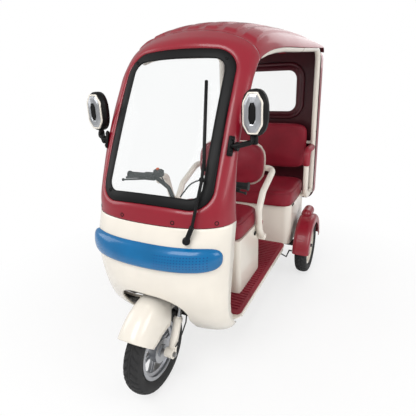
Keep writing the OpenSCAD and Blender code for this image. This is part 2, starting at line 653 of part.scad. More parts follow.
// Floor
pan_t = 6;
pan_front = fa - 268;
pan_rear = ra + 196;
mat_t = 3;
mat_rib_h = 4;
mat_edge = 26;
mat_z = floor_h + pan_t;
box_front = fa - 470;
box_corner = 30;
rim_w = 20;
bench_front = ra + 190;
module floor_pan() {
  l = pan_front - pan_rear;
  color(cream) translate([pan_front, 0, floor_h]) {
    difference() {
      upright_box(l, floor_w, pan_t, 40);
      translate([column_x - pan_front, 0, -22]) rotate([0, column_lean, 0]) cylinder(d = column_d + 4 * join_gap, h = 60);
    }
    for (side = [-1, 1]) translate([-l + 60, side * (floor_w / 2 - 4) - 3, -18]) cube([l - 120, 6, 19]);
  }
}
module floor_mat() {
  front = fa - 300;
  l = front - pan_rear - 6;
  ribs = floor((l - 2 * mat_edge) / mat_pitch);
  color(red) difference() {
    translate([front, 0, mat_z]) intersection() {
      upright_box(l, floor_w - 8, mat_t + mat_rib_h, 30);
      union() {
        upright_box(l, floor_w, mat_t, 30);
        difference() {
          upright_box(l, floor_w - 8, mat_t + mat_rib_h, 30);
          translate([-mat_edge, 0, 0]) upright_box(l - 2 * mat_edge, floor_w - 2 * mat_edge, 20, 20);
        }
        for (k = [0:ribs]) translate([-mat_edge - (k + 0.25) * mat_pitch, -floor_w / 2 + 10, 0])
          cube([mat_pitch / 2, floor_w - 20, mat_t + mat_rib_h]);
      }
    }
    translate([box_front + join_gap, 0, 0])
      upright_box(driver_box_l + 2 * join_gap, driver_box_w + 2 * join_gap, 600, box_corner);
  }
}

// Seat boxes: open at the top under the cushions
module driver_box() {
  h = driver_box_h - mat_z;
  color(cream) translate([box_front, 0, mat_z]) difference() {
    upright_box(driver_box_l, driver_box_w, h, box_corner);
    translate([-box_t, 0, box_t])
      upright_box(driver_box_l - 2 * box_t, driver_box_w - 2 * box_t, h - 2 * box_t, box_corner - box_t);
    translate([-rim_w, 0, h / 2]) upright_box(driver_box_l - 2 * rim_w, driver_box_w - 2 * rim_w, h, box_corner - rim_w / 2);
    translate([lock_x - box_front, 0, lock_z - mat_z]) rotate([-90, 0, 0]) cylinder(d = lock_d + 2 * join_gap, h = 400);
  }
}
lock_d = 20;
lock_x = box_front - 250;
lock_z = driver_box_h - 48;
module box_locks() {
  color(black) translate([lock_x, driver_box_w / 2 - 22, lock_z]) rotate([-90, 0, 0]) {
    cylinder(d = lock_d, h = 28);
    translate([0, 0, 22 + join_gap]) cylinder(d = lock_d + 8, h = 4);
  }
}
battery_l = 260;
battery_w = 380;
battery_h = 190;
module battery_pack() {
  color("#2b4a6b") translate([box_front - driver_box_l / 2 - battery_l / 2, -battery_w / 2, mat_z + box_t])
    cube([battery_l, battery_w, battery_h]);
}
box_floor_z = kick_top + join_gap;
slot_l = 62;
module bench_box() {
  low = floor_h;
  color(cream) difference() {
    translate([bench_front, 0, low]) upright_box(bench_box_l, bench_box_w, bench_box_h - low, 50);
    translate([bench_front - box_t, 0, box_floor_z + box_t])
      upright_box(bench_box_l - 2 * box_t, bench_box_w - 2 * box_t, bench_box_h - box_floor_z - 2 * box_t, 50 - box_t);
    translate([bench_front - rim_w, 0, bench_box_h - 100])
      upright_box(bench_box_l - 2 * rim_w, bench_box_w - 2 * rim_w, 200, 50 - rim_w);
    translate([bench_front - box_t, 0, low - 10])
      upright_box(bench_box_l - 2 * box_t, bench_box_w - 2 * box_t, box_floor_z - low + 10, 50 - box_t);
    translate([bench_front - bench_box_l - 10, -bench_box_w / 2 + 60, low - 10])
      cube([60, bench_box_w - 120, box_floor_z - low + 10]);
    translate([bench_front - 300, 0, 452]) rotate([0, -35, 0])
      cube([14, bench_box_w + 20, slot_l], center = true);
  }
}

// Soft pads: rounded rectangles of growing and shrinking size; columns: share of thickness, inset
pad_rows = [[0, 14], [0.12, 4], [0.3, 0], [0.68, 0], [0.88, 9], [1, 30]];
function pad_ring(l, w, r, z) = [for (c = [[1, 1, 0], [-1, 1, 90], [-1, -1, 180], [1, -1, 270]]) for (i = [0:4])
  [c.x * (l / 2 - r) + r * cos(c.z + 22.5 * i), c.y * (w / 2 - r) + r * sin(c.z + 22.5 * i), z]];
module pad(l, w, t, r) {
  loft([for (p = pad_rows) pad_ring(l - 2 * p[1], w - 2 * p[1], max(12, r - p[1]), p[0] * t)]);
}
cushion_l = 346;
cushion_w = 488;
lid_gap = join_gap;
module driver_cushion() {
  color(seat_red) translate([box_front + 8 - cushion_l / 2, 0, driver_box_h + lid_gap])
    pad(cushion_l, cushion_w, cushion_t, 60);
}
bench_cushion_l = 440;
bench_cushion_w = 684;
bench_cushion_t = 130;
module bench_cushion() {
  color(seat_red) translate([bench_front + 26 - bench_cushion_l / 2, 0, bench_box_h + lid_gap])
    pad(bench_cushion_l, bench_cushion_w, bench_cushion_t, 60);
}
// Backrest frames: origin at the pad's lower middle on its rear face, x forward out of the pad
back_tilt = 8;
back_x = fa - 985;
back_z = 772;
back_w = 430;
back_h = 262;
back_t = 66;
back_shell_t = 12;
module back_frame() { translate([back_x, 0, back_z]) rotate([0, -back_tilt, 0]) children(); }
module driver_backrest() {
  color(seat_red) back_frame() translate([back_shell_t + join_gap, 0, back_h / 2]) rotate([0, 90, 0])
    pad(back_h, back_w, back_t, 95);
}
module driver_backrest_shell() {
  color(cream) back_frame() translate([0, 0, back_h / 2]) rotate([0, 90, 0])
    loft([for (p = [[0, 16], [0.4, 2], [1, 0]])
      pad_ring(back_h + 20 - 2 * p[1], back_w + 20 - 2 * p[1], 105 - p[1], p[0] * back_shell_t)]);
}
bench_back_w = 660;
bench_back_h = 340;
bench_back_t = 78;
bench_back_x = ra - 322;
bench_back_z = 729;
module bench_backrest() {
  color(seat_red) translate([bench_back_x, 0, bench_back_z + bench_back_h / 2]) rotate([0, 90, 0])
    pad(bench_back_h, bench_back_w, bench_back_t, 60);
}

// The driver's armrest stays: one bent tube from foot to foot behind the backrest, with a grab handle
stay_y = driver_box_w / 2 + 22;
stay_half = [[-800, stay_y, 498], [-742, stay_y, 566], [-722, stay_y, 690], [-800, stay_y, 785],
  [-1019, stay_y, 872]];
stay_points = concat(stay_half, reversed(flip_y(stay_half)));
handle_points = [[-722, -stay_y, 640], [-690, -stay_y - 24, 740], [-655, -stay_y - 30, 880], [-560, -stay_y - 20, 862]];
module driver_stays() {
  color(cream) {
    bar(round_path(from_front(stay_points), 42, 3), tube_d / 2, [0.3, 0.2, 1], 12);
    bar(round_path(from_front(handle_points), 40, 3), tube_d / 2, [0.2, 1, 0], 12);
    both_sides() translate([fa - 800, driver_box_w / 2 + join_gap, 498]) rotate([-90, 0, 0])
      cylinder(r = 21, h = 42);
  }
}
pad_r = 24;
module stay_foot_pads() {
  x0 = box_front - driver_box_l - pad_r - join_gap;
  color(red) both_sides() {
    translate([x0, stay_y - 48, 500]) {
      sphere(r = pad_r);
      rotate([0, -38, 0]) cylinder(r = pad_r, h = 70);
      rotate([0, -38, 0]) translate([0, 0, 70]) sphere(r = pad_r);
    }
  }
}

// Canopy frame: rear posts that end in armrest loops, roof rails, bows and cross bars
frame_y = canopy_w / 2 - shell_t - tube_d / 2 - 7;
post_x = ra - 316;
loop_x = ra - 108;
loop_low = 530;
loop_top = 898;
post_bend = 1560;
arm_path = round_path([[post_x, frame_y, loop_low + 20], [loop_x, frame_y, loop_low + 4],
  [loop_x, frame_y, loop_top], [post_x, frame_y, loop_top]], 62, 4);
function rail_point(s) = [s[2], s[4] - shell_t - tube_d / 2 - 7, s[3] - 4];
rail_path = concat([[post_x, frame_y, loop_low], [post_x, frame_y, post_bend]],
  [for (k = [len(roof_stations) - 3:-1:1]) rail_point(roof_stations[k])]);
bow_d = 24;
bow_stations = [2, 5, 7];
cross_z = [776, 925];
module canopy_frame() {
  color(cream) {
    both_sides() {
      bar(round_path(rail_path, 50, 2), tube_d / 2, [0, 1, 0], 12);
      bar(arm_path, tube_d / 2, [0, 1, 0], 12);
      translate([loop_x - 20, bench_box_w / 2 + join_gap, loop_low + 24]) rotate([-90, 0, 0])
        cylinder(r = 11, h = frame_y - bench_box_w / 2 - 8);
    }
    for (k = bow_stations) let (s = roof_stations[k], a = arch(s, shell_t + bow_d / 2 + 5, 14))
      bar(a, bow_d / 2, [1, 0, 0], 8);
    for (z = cross_z) translate([bench_back_x - bow_d / 2 - join_gap, 0, z]) rotate([90, 0, 0])
      cylinder(d = bow_d, h = 2 * frame_y, center = true);
  }
}
sleeve_r = tube_d / 2 + 7;
pad_path = round_path([[loop_x, frame_y, loop_top - 104], [loop_x, frame_y, loop_top], [post_x + 44, frame_y, loop_top]], 62, 4);
module armrest_pads() {
  color(red) both_sides() difference() {
    bar(pad_path, sleeve_r, [0, 1, 0], 14);
    bar(arm_path, tube_d / 2 + join_gap, [0, 1, 0], 12);
  }
}

// Rear panel with its window
panel_x = rear_x + 14;
panel_w = canopy_w - 2 * shell_t - 2;
panel_top = roof_h - 104;
panel_t = 5;
window_z = 1310;
plate_z = 610;
plate_pitch = 140;
plate_hole_d = 6.5;
module panel_outline(inset, r) { rounded_rect(panel_w - 2 * inset, panel_top - rear_panel_z - 2 * inset, r - inset); }
module along_x(x, z) { translate([x, 0, z]) rotate([90, 0, 90]) children(); }
module rear_panel() {
  mid_z = (panel_top + rear_panel_z) / 2;
  color(red) difference() {
    union() {
      difference() {
        along_x(panel_x, mid_z) linear_extrude(rear_panel_d) panel_outline(0, 70);
        along_x(panel_x + panel_t, mid_z) linear_extrude(rear_panel_d) panel_outline(panel_t, 70);
      }
      along_x(panel_x, window_z) linear_extrude(26) rounded_rect(rear_window_w + 24, rear_window_h + 24, 62);
    }
    along_x(panel_x - 1, window_z) linear_extrude(60) rounded_rect(rear_window_w, rear_window_h, 50);
    for (side = [-1, 1]) translate([panel_x - 1, side * plate_pitch / 2, plate_z]) rotate([0, 90, 0])
      cylinder(d = plate_hole_d, h = 20);
  }
}
module rear_window() {
  color([0.75, 0.85, 0.88, 0.35]) along_x(panel_x + 12, window_z) linear_extrude(4)
    rounded_rect(rear_window_w - 2 * join_gap, rear_window_h - 2 * join_gap, 50);
}
module tail_lamps() {
  color("#b01018") both_sides() translate([0, panel_w / 2 - 70, 0]) along_x(rear_x, 590)
    linear_extrude(14 - join_gap) rounded_rect(64, 130, 24);
}

// Rear mudguards: a rounded trough round each wheel, with a hump on top
guard_in = tyre_r + guard_gap;
rear_guard_t = 4;
guard_half = 58;
guard_mid = track / 2 + 5;
guard_from = 6;
guard_to = 176;
function trough(r, w, low) = concat([[low, -w]], [for (i = [0:4]) [r - 26 + 26 * sin(22.5 * i), -w + 26 - 26 * cos(22.5 * i)]],
  [for (i = [0:4]) [r - 26 + 26 * cos(22.5 * i), w - 26 + 26 * sin(22.5 * i)]], [[low, w]]);
module rear_mudguards() {
  low = tyre_r - 24;
  color(red) both_sides() union() {
    translate([ra, guard_mid, za]) rotate([90, 0, 0]) rotate([0, 0, guard_from])
      rotate_extrude(angle = guard_to - guard_from, $fn = 72)
        polygon(concat([for (p = trough(guard_in + rear_guard_t, guard_half, low)) [p.x, -p.y]],
          reversed([for (p = trough(guard_in, guard_half - rear_guard_t, low)) [p.x, -p.y]])));
    difference() {
      translate([ra - 20, guard_mid - 14, za + guard_in + 2]) union() {
        sphere(r = 38);
        rotate([0, -90, 0]) cylinder(r = 38, h = 90);
        translate([-90, 0, 0]) sphere(r = 38);
      }
      translate([ra, guard_mid, za]) rotate([90, 0, 0]) cylinder(r = guard_in + 1, h = 200, center = true);
    }
  }
}
stay_bar_r = 6;
guard_side = guard_mid - guard_half - join_gap;
rail_side = rail_y + rail_w / 2 + join_gap;
front_stay = [[ra + 240, rail_side, 246], [ra + 240, rail_side + 30, 246], [ra + 240, 340, 200],
  [ra + 222, 355, 244], [ra + 222, guard_side, 244]];
rear_stay = [[ra - 256, rail_side, kick_low + 18], [ra - 256, rail_side + 30, kick_low + 18],
  [ra - 256, 345, 290], [ra - 190, 356, 274], [ra - 190, guard_side, 274]];
module mudguard_stays() {
  color(black) both_sides() {
    bar(front_stay, stay_bar_r, [1, 0, 0], 8);
    bar(rear_stay, stay_bar_r, [1, 0, 0], 8);
  }
}

// Mirrors on arms from the windscreen pillars
mirror_mid = [fa - 272, 405, 1288];
mirror_h = 186;
mirror_w = 112;
mirror_depth = 46;
module mirror_head(depth, inset) {
  loft([for (p = [[0, 0], [0.45, 0], [0.8, 8], [1, 24]]) [for (i = [0:23]) let (a = 15 * i)
    [p[0] * depth, (mirror_w / 2 - inset - p[1]) * sign(cos(a)) * pow(abs(cos(a)), 0.8),
     (mirror_h / 2 - inset - p[1]) * sign(sin(a)) * pow(abs(sin(a)), 0.8)]]]);
}
module mirror_housings() {
  color(black) both_sides() {
    difference() {
      translate(mirror_mid) mirror_head(mirror_depth, 0);
      translate(mirror_mid - [1, 0, 0]) mirror_head(7, 7);
    }
    bar(round_path([mirror_mid + [20, -10, -mirror_h / 2 + 14], [fa - 240, 402, 1172], [fa - 214, 346, 1158]], 16, 3),
      9, [1, 0, 0], 10);
    translate([fa - 214, 345.5, 1158]) rotate([90, 0, 0]) cylinder(r = 19, h = 12, center = true);
  }
}
module mirror_glasses() {
  color("silver") both_sides() translate(mirror_mid + [1, 0, 0]) mirror_head(3, 8);
}

chassis_frame();
floor_pan();
floor_mat();
nose_fairing();
leg_shield();
dash_panel();
windscreen_surround();
windscreen_border();
windscreen_glass();
lamp_band();
wiper();
roof_panel();
canopy_frame();
rear_panel();
rear_window();
tail_lamps();
driver_box();
battery_pack();
box_locks();
driver_backrest();
driver_backrest_shell();
driver_stays();
stay_foot_pads();
bench_box();
bench_backrest();
armrest_pads();
rear_mudguards();
mudguard_stays();
rear_axle();
leaf_springs();
mirror_housings();
mirror_glasses();
fork_legs();
fork_tubes();
front_mudguard();
handlebar();
hand_controls();
front_axle();
brake_cable();
front_tyre();
front_rim();
rear_tyre_left();
rear_rim_left();
rear_tyre_right();
rear_rim_right();
driver_cushion();
bench_cushion();
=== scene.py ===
import math

import bpy
import numpy as np
from mathutils import Matrix, Vector


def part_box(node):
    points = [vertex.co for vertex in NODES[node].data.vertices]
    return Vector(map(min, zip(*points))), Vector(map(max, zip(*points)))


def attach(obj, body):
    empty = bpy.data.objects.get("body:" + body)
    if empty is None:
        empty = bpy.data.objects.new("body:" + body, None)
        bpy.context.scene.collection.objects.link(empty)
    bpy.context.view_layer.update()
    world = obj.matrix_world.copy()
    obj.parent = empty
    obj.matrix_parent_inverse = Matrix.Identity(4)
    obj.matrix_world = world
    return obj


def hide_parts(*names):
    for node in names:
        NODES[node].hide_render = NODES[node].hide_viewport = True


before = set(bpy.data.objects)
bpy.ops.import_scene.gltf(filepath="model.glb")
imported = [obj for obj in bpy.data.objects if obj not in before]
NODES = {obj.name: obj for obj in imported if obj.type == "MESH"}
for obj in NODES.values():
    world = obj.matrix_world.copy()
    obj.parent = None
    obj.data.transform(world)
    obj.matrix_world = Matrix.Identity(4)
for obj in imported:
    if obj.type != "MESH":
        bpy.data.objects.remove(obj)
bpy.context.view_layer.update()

MM = 0.001


def middle(node):
    lo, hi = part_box(node)
    return (lo + hi) / 2


# The axles' places, worked out from the tyres
FRONT_AXLE = middle("front_tyre")
REAR_AXLE = middle("rear_tyre_left")
FA = FRONT_AXLE.x
RA = REAR_AXLE.x
TYRE_R = FRONT_AXLE.z

# Driving sizes of the shells
SEAM_H = 0.845
ROOF_H = 1.706
BODY_HALF = 0.350
CANOPY_HALF = 0.412
SHELL_T = 0.005
SCREEN_L = 0.718
SCREEN_W = 0.564
SCREEN_R = 0.100
SCREEN_MID_Z = 1.242
BORDER_W = 0.046
RIB_H = 0.0088
RIB_PITCH = 0.096
RIB_COUNT = 7
ROOF_SEAM_X = FA - 0.488

# Sections in millimetres. Columns: middle x, height over the seam, edge x, edge height, wider than the
# seam by (each side), exponent; x from the front axle
FRONT_SECTIONS = [
    (-15, 0, -190, 0, 0, 2.4),
    (-45, 104, -196, 95, -5, 2.5),
    (-149, 295, -224, 250, -8, 2.4),
    (-232, 448, -296, 410, -8, 2.3),
    (-307, 586, -372, 525, -4, 2.2),
    (-345, 655, -414, 586, -2, 2.1),
    (-392, 735, -488, 650, -2, 2.0),
]
# Columns: middle x, height under the roof's top, edge x, edge height under the top, narrower than the
# rear edge by (each side), exponent; x from the front axle
CROWN_SECTIONS = [
    (-440, -90, -560, -182, 58, 2.0),
    (-520, -54, -640, -164, 50, 2.0),
    (-650, -24, -740, -150, 40, 2.0),
    (-850, -6, -880, -139, 32, 2.0),
]
# The same columns with x from the rear axle
TAIL_SECTIONS = [
    (250, 4, 250, -129, 17, 2.0),
    (-60, -4, -60, -114, 4, 2.0),
    (-230, -22, -240, -105, 0, 2.1),
    (-330, -46, -330, -100, 0, 2.2),
    (-410, -88, -410, -98, 4, 2.2),
]
# Columns: height, middle x, edge x, half width less than the seam's, exponent
NOSE_SECTIONS = [
    (845, -15, -190, 0, 2.4),
    (800, 6, -178, 0, 2.4),
    (750, 26, -166, 0, 2.4),
    (690, 44, -156, 0, 2.3),
    (620, 50, -148, 4, 2.2),
    (550, 44, -142, 8, 2.1),
    (490, 24, -140, 12, 2.1),
    (430, -8, -146, 16, 2.2),
    (370, -50, -166, 20, 2.4),
    (310, -104, -212, 26, 2.6),
    (262, -150, -266, 38, 2.8),
    (228, -190, -306, 58, 2.8),
    (212, -236, -306, 90, 2.6),
]


# Material helpers
def new_material(name):
    mat = bpy.data.materials.new(name)
    mat.use_nodes = True
    return mat, mat.node_tree.nodes, mat.node_tree.links


def shader_of(nodes):
    return next(n for n in nodes if n.type == "BSDF_PRINCIPLED")


def add_node(nodes, kind, **settings):
    node = nodes.new(kind)
    for key, value in settings.items():
        setattr(node, key, value)
    return node


def put(node, values):
    """Sets a node's inputs by name."""
    for key, value in values.items():
        node.inputs[key].default_value = value


def math_node(nodes, links, kind, *values):
    """A maths node; each value is a number or an output."""
    node = add_node(nodes, "ShaderNodeMath", operation=kind)
    for socket, value in zip(node.inputs, values):
        if isinstance(value, (int, float)):
            socket.default_value = value
        else:
            links.new(value, socket)
    return node.outputs[0]


def vector_node(nodes, links, kind, output, fixed):
    """A number from a vector output and a fixed vector."""
    node = add_node(nodes, "ShaderNodeVectorMath", operation=kind)
    links.new(output, node.inputs[0])
    node.inputs[1].default_value = fixed
    return node.outputs["Value"]


def noise(nodes, links, scale, detail=4.0):
    """Noise in the object's own space."""
    coords = nodes.new("ShaderNodeTexCoord")
    tex = nodes.new("ShaderNodeTexNoise")
    put(tex, {"Scale": scale, "Detail": detail, "Roughness": 0.55})
    links.new(coords.outputs["Object"], tex.inputs["Vector"])
    return tex.outputs["Fac"]


def drift(nodes, links, shader, fac, low, high, start=0.3, end=0.7):
    """Base colour that drifts from low to high as fac goes from start to end."""
    node = nodes.new("ShaderNodeValToRGB")
    for element, place, colour in zip(node.color_ramp.elements, (start, end), (low, high)):
        element.position = place
        element.color = (*colour, 1)
    links.new(fac, node.inputs["Fac"])
    links.new(node.outputs["Color"], shader.inputs["Base Color"])


def colour_over(nodes, links, shader, share, colour):
    """Lays a share of a colour over the shader's base colour."""
    mix = add_node(nodes, "ShaderNodeMix", data_type="RGBA")
    base = shader.inputs["Base Color"]
    links.new(share, mix.inputs[0])
    links.new(base.links[0].from_socket, mix.inputs[6])
    mix.inputs[7].default_value = (*colour, 1)
    links.new(mix.outputs[2], base)


def spread(nodes, links, fac, low, high, start=0.0, end=1.0):
    """Maps fac from start..end to low..high."""
    node = nodes.new("ShaderNodeMapRange")
    put(node, {"From Min": start, "From Max": end, "To Min": low, "To Max": high})
    links.new(fac, node.inputs["Value"])
    return node.outputs["Result"]


def bump(nodes, links, shader, height, strength, distance):
    node = nodes.new("ShaderNodeBump")
    put(node, {"Strength": strength, "Distance": distance})
    links.new(height, node.inputs["Height"])
    links.new(node.outputs["Normal"], shader.inputs["Normal"])


def srgb(r, g, b):
    """Linear colour of an 8-bit display colour."""
    out = []
    for v in (r, g, b):
        v /= 255
        out.append(v / 12.92 if v <= 0.04045 else ((v + 0.055) / 1.055) ** 2.4)
    return tuple(out)


def shade(colour, k):
    return tuple(min(1, c * k) for c in colour)


def moulded(name, colour, rough, coat, grain, grain_strength, vary, metallic=0.0):
    """Moulded or painted surface: slow colour drift, uneven gloss and a fine grain."""
    mat, nodes, links = new_material(name)
    shader = shader_of(nodes)
    slow = noise(nodes, links, 4.0, 3.0)
    drift(nodes, links, shader, slow, shade(colour, 1 - vary), shade(colour, 1 + vary))
    links.new(spread(nodes, links, noise(nodes, links, 9.0, 6.0), *rough), shader.inputs["Roughness"])
    bump(nodes, links, shader, noise(nodes, links, grain, 2.0), grain_strength, 0.0006)
    put(shader, {"Metallic": metallic, "Coat Weight": coat, "Coat Roughness": 0.08})
    return mat


# The painted shade shows where the facing direction's share of the normal is below this
INNER_SHADE_BELOW = -0.12


def inside_shaded(name, colour, inner_shade, facing, rough=(0.3, 0.42), coat=0.3):
    """A moulded surface whose inner side, away from the facing direction, is darkened with a painted shade
    colour.
    """
    mat = moulded(name, colour, rough, coat, 500, 0.04, 0.05)
    nodes, links = mat.node_tree.nodes, mat.node_tree.links
    geometry = nodes.new("ShaderNodeNewGeometry")
    facing_share = vector_node(nodes, links, "DOT_PRODUCT", geometry.outputs["True Normal"], facing)
    inner = math_node(nodes, links, "LESS_THAN", facing_share, INNER_SHADE_BELOW)
    # Painted shade: the inner side takes the dark colour in place of the base colour
    colour_over(nodes, links, shader_of(nodes), inner, inner_shade)
    return mat


def vinyl(name, colour):
    """Seat vinyl with a leather grain."""
    mat, nodes, links = new_material(name)
    shader = shader_of(nodes)
    coords = nodes.new("ShaderNodeTexCoord")
    cells = add_node(nodes, "ShaderNodeTexVoronoi", feature="DISTANCE_TO_EDGE")
    put(cells, {"Scale": 320})
    links.new(coords.outputs["Object"], cells.inputs["Vector"])
    slow = noise(nodes, links, 7.0, 5.0)
    drift(nodes, links, shader, slow, shade(colour, 0.82), shade(colour, 1.2), 0.25, 0.75)
    links.new(spread(nodes, links, slow, 0.36, 0.5), shader.inputs["Roughness"])
    bump(nodes, links, shader, cells.outputs["Distance"], 0.35, 0.0012)
    put(shader, {"Specular IOR Level": 0.3})
    return mat


def glass(name, colour, alpha):
    mat, nodes, links = new_material(name)
    shader = shader_of(nodes)
    slow = noise(nodes, links, 3.0, 2.0)
    drift(nodes, links, shader, slow, shade(colour, 0.96), colour)
    links.new(spread(nodes, links, slow, 0.02, 0.05), shader.inputs["Roughness"])
    put(shader, {"Alpha": alpha, "IOR": 1.45})
    return mat


LENS_BLUE = srgb(0, 104, 160)
LENS_DARK = srgb(0, 70, 140)
DOT_PITCH_Y = 0.0125
DOT_PITCH_Z = 0.0115
DOT_SHARE = 0.2
DOT_FIELD_Y = (0.07, 0.30)
DOT_FIELD_Z = (0.690, 0.750)


def lens_material():
    """Blue lens with a grid of small dark dots over part of it."""
    mat, nodes, links = new_material("lamp_lens")
    shader = shader_of(nodes)
    coords = nodes.new("ShaderNodeTexCoord")
    split = nodes.new("ShaderNodeSeparateXYZ")
    links.new(coords.outputs["Object"], split.inputs[0])
    y, z = split.outputs["Y"], split.outputs["Z"]

    def work(kind, *values):
        return math_node(nodes, links, kind, *values)

    def from_cell_middle(value, pitch):
        return work("SUBTRACT", work("FRACT", work("MULTIPLY", value, 1 / pitch)), 0.5)

    def between(value, low, high):
        return work("MULTIPLY", work("GREATER_THAN", value, low), work("LESS_THAN", value, high))

    cy, cz = from_cell_middle(y, DOT_PITCH_Y), from_cell_middle(z, DOT_PITCH_Z)
    reach = work("SQRT", work("ADD", work("MULTIPLY", cy, cy), work("MULTIPLY", cz, cz)))
    field = work("MULTIPLY", between(y, *DOT_FIELD_Y), between(z, *DOT_FIELD_Z))
    mask = work("MULTIPLY", field, work("LESS_THAN", reach, DOT_SHARE))
    slow = noise(nodes, links, 6.0, 3.0)
    drift(nodes, links, shader, slow, shade(LENS_BLUE, 0.85), shade(LENS_BLUE, 1.1))
    colour_over(nodes, links, shader, mask, shade(LENS_DARK, 0.75))
    links.new(spread(nodes, links, slow, 0.22, 0.3), shader.inputs["Roughness"])
    put(shader, {"Specular IOR Level": 0.3, "Coat Weight": 0.35, "Coat Roughness": 0.06})
    return mat


def rubber(name, colour, rough=(0.6, 0.8)):
    return moulded(name, colour, rough, 0.0, 900, 0.25, 0.15)


def metal(name, colour, rough=(0.18, 0.3)):
    return moulded(name, colour, rough, 0.0, 1400, 0.03, 0.04, 1.0)


CRIMSON = srgb(140, 10, 34)
# Painted shade: dark maroon for the inner sides of the roof, surround and rear panel, where the cabin lies
# in shade
INNER_SHADE_COLOUR = srgb(70, 12, 24)
CREAM = srgb(235, 228, 216)
MAT = {
    "red": moulded("crimson_shell", CRIMSON, (0.3, 0.42), 0.3, 500, 0.05, 0.06),
    # The roof, surround, nose and rear panel darken their inner sides with painted shade
    "roof_red": inside_shaded("crimson_roof", CRIMSON, INNER_SHADE_COLOUR, (0, 0, 1)),
    "surround_red": inside_shaded("crimson_surround", CRIMSON, INNER_SHADE_COLOUR, (1, 0, 0.3)),
    "cream": moulded("cream_shell", CREAM, (0.2, 0.3), 0.45, 700, 0.03, 0.025),
    # The nose's inner side is painted near-black shade
    "nose_cream": inside_shaded("cream_nose", CREAM, srgb(24, 24, 25), (1, 0, 0), (0.2, 0.3), 0.45),
    "cream_tube": moulded("cream_powder_coat", shade(CREAM, 1.03), (0.24, 0.34), 0.5, 900, 0.06, 0.02),
    "black": moulded("satin_black", srgb(13, 13, 14), (0.42, 0.55), 0.0, 900, 0.12, 0.15),
    # A slightly lighter copy of the painted shade colour, used for the rear window frame inside the cabin
    "inner_shade": moulded("maroon_painted_shade", shade(INNER_SHADE_COLOUR, 1.1), (0.4, 0.5), 0.1, 700, 0.06, 0.08),
    "panel_red": inside_shaded("crimson_panel", CRIMSON, INNER_SHADE_COLOUR, (-1, 0, 0)),
    "frame_black": moulded("black_paint", srgb(24, 25, 27), (0.3, 0.45), 0.3, 700, 0.06, 0.12),
    "mat": rubber("ribbed_mat", srgb(134, 24, 44), (0.45, 0.6)),
    "vinyl": vinyl("seat_vinyl_grain", srgb(134, 28, 44)),
    "pad": moulded("soft_crimson_pad", srgb(150, 28, 46), (0.4, 0.55), 0.1, 800, 0.15, 0.08),
    "rubber": rubber("black_rubber", srgb(30, 30, 31)),
    "tyre": rubber("tyre_rubber", srgb(32, 32, 33), (0.62, 0.82)),
    "chrome": metal("bright_steel", srgb(205, 207, 210), (0.1, 0.2)),
    "silver": metal("silver_cast", srgb(178, 180, 184), (0.3, 0.42)),
    "steel": metal("zinc_bolt", srgb(150, 150, 150), (0.3, 0.45)),
    "mirror": metal("mirror_face", srgb(215, 218, 222), (0.02, 0.04)),
    "cream_rim": moulded("cream_rim_paint", shade(CREAM, 0.98), (0.25, 0.35), 0.4, 900, 0.05, 0.03),
    "battery": moulded("battery_case", srgb(43, 60, 84), (0.4, 0.5), 0.1, 700, 0.1, 0.1),
    "red_lens": moulded("red_lens", srgb(170, 12, 20), (0.08, 0.16), 1.0, 300, 0.05, 0.12),
    "orange": moulded("orange_button", srgb(226, 98, 26), (0.3, 0.4), 0.2, 600, 0.05, 0.06),
    "glass": glass("clear_glass", (0.5, 0.56, 0.56), 0.07),
    "lens": lens_material(),
}


# Weaker specular on the black finishes
for key in ("black", "frame_black"):
    put(shader_of(MAT[key].node_tree.nodes), {"Specular IOR Level": 0.2})


# Mesh helpers
def make_piece(name, verts, faces, material, body="chassis", replaces=(), smooth=True):
    mesh = bpy.data.meshes.new(name)
    mesh.from_pydata([tuple(map(float, v)) for v in verts], [], [tuple(map(int, f)) for f in faces])
    mesh.materials.append(MAT[material])
    mesh.polygons.foreach_set("use_smooth", [smooth] * len(mesh.polygons))
    mesh.update()
    piece = bpy.data.objects.new(name, mesh)
    bpy.context.scene.collection.objects.link(piece)
    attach(piece, body)
    if replaces:
        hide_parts(*replaces)
    return piece


def grid_faces(rows, cols, wrap_cols=False, wrap_rows=False, first=0):
    faces = []
    for i in range(rows if wrap_rows else rows - 1):
        for j in range(cols if wrap_cols else cols - 1):
            a = i * cols + j
            b = i * cols + (j + 1) % cols
            c = ((i + 1) % rows) * cols + (j + 1) % cols
            d = ((i + 1) % rows) * cols + j
            faces.append((first + a, first + b, first + c, first + d))
    return faces


def grid_piece(name, grid, material, wrap_cols=False, flip=False, **more):
    grid = np.asarray(grid, float)
    rows, cols = grid.shape[:2]
    faces = grid_faces(rows, cols, wrap_cols)
    if flip:
        faces = [f[::-1] for f in faces]
    return make_piece(name, grid.reshape(-1, 3), faces, material, **more)


def solidify(piece, thickness):
    """Gives a surface its wall, on the side away from its normals."""
    mod = piece.modifiers.new("thickness", "SOLIDIFY")
    mod.thickness = thickness
    mod.offset = -1
    mod.use_even_offset = False


def clamp(v):
    return max(0.0, min(1.0, v))


def ease(v):
    v = clamp(v)
    return v * v * (3 - 2 * v)


def unit(v):
    v = np.asarray(v, float)
    return v / np.linalg.norm(v)


def turns(steps):
    """Angles of equal steps once round a circle."""
    return [2 * math.pi * k / steps for k in range(steps)]


def rounded(points, radius, steps):
    """A path whose corners are rounded."""
    pts = [np.asarray(p, float) for p in points]
    out = [pts[0]]
    for a, p, b in zip(pts, pts[1:], pts[2:]):
        u, v = unit(a - p), unit(b - p)
        turn = math.pi - math.acos(max(-1, min(1, float(u @ v))))
        if turn < 0.02:
            out.append(p)
            continue
        reach = min(radius * math.tan(turn / 2), 0.49 * np.linalg.norm(a - p), 0.49 * np.linalg.norm(b - p))
        s, e = p + u * reach, p + v * reach
        for k in range(steps + 1):
            t = k / steps
            out.append((1 - t) ** 2 * s + 2 * t * (1 - t) * p + t * t * e)
    return out + [pts[-1]]


TINY = 1e-5
CAP_RINGS = 3
CAP_REACH = 0.35


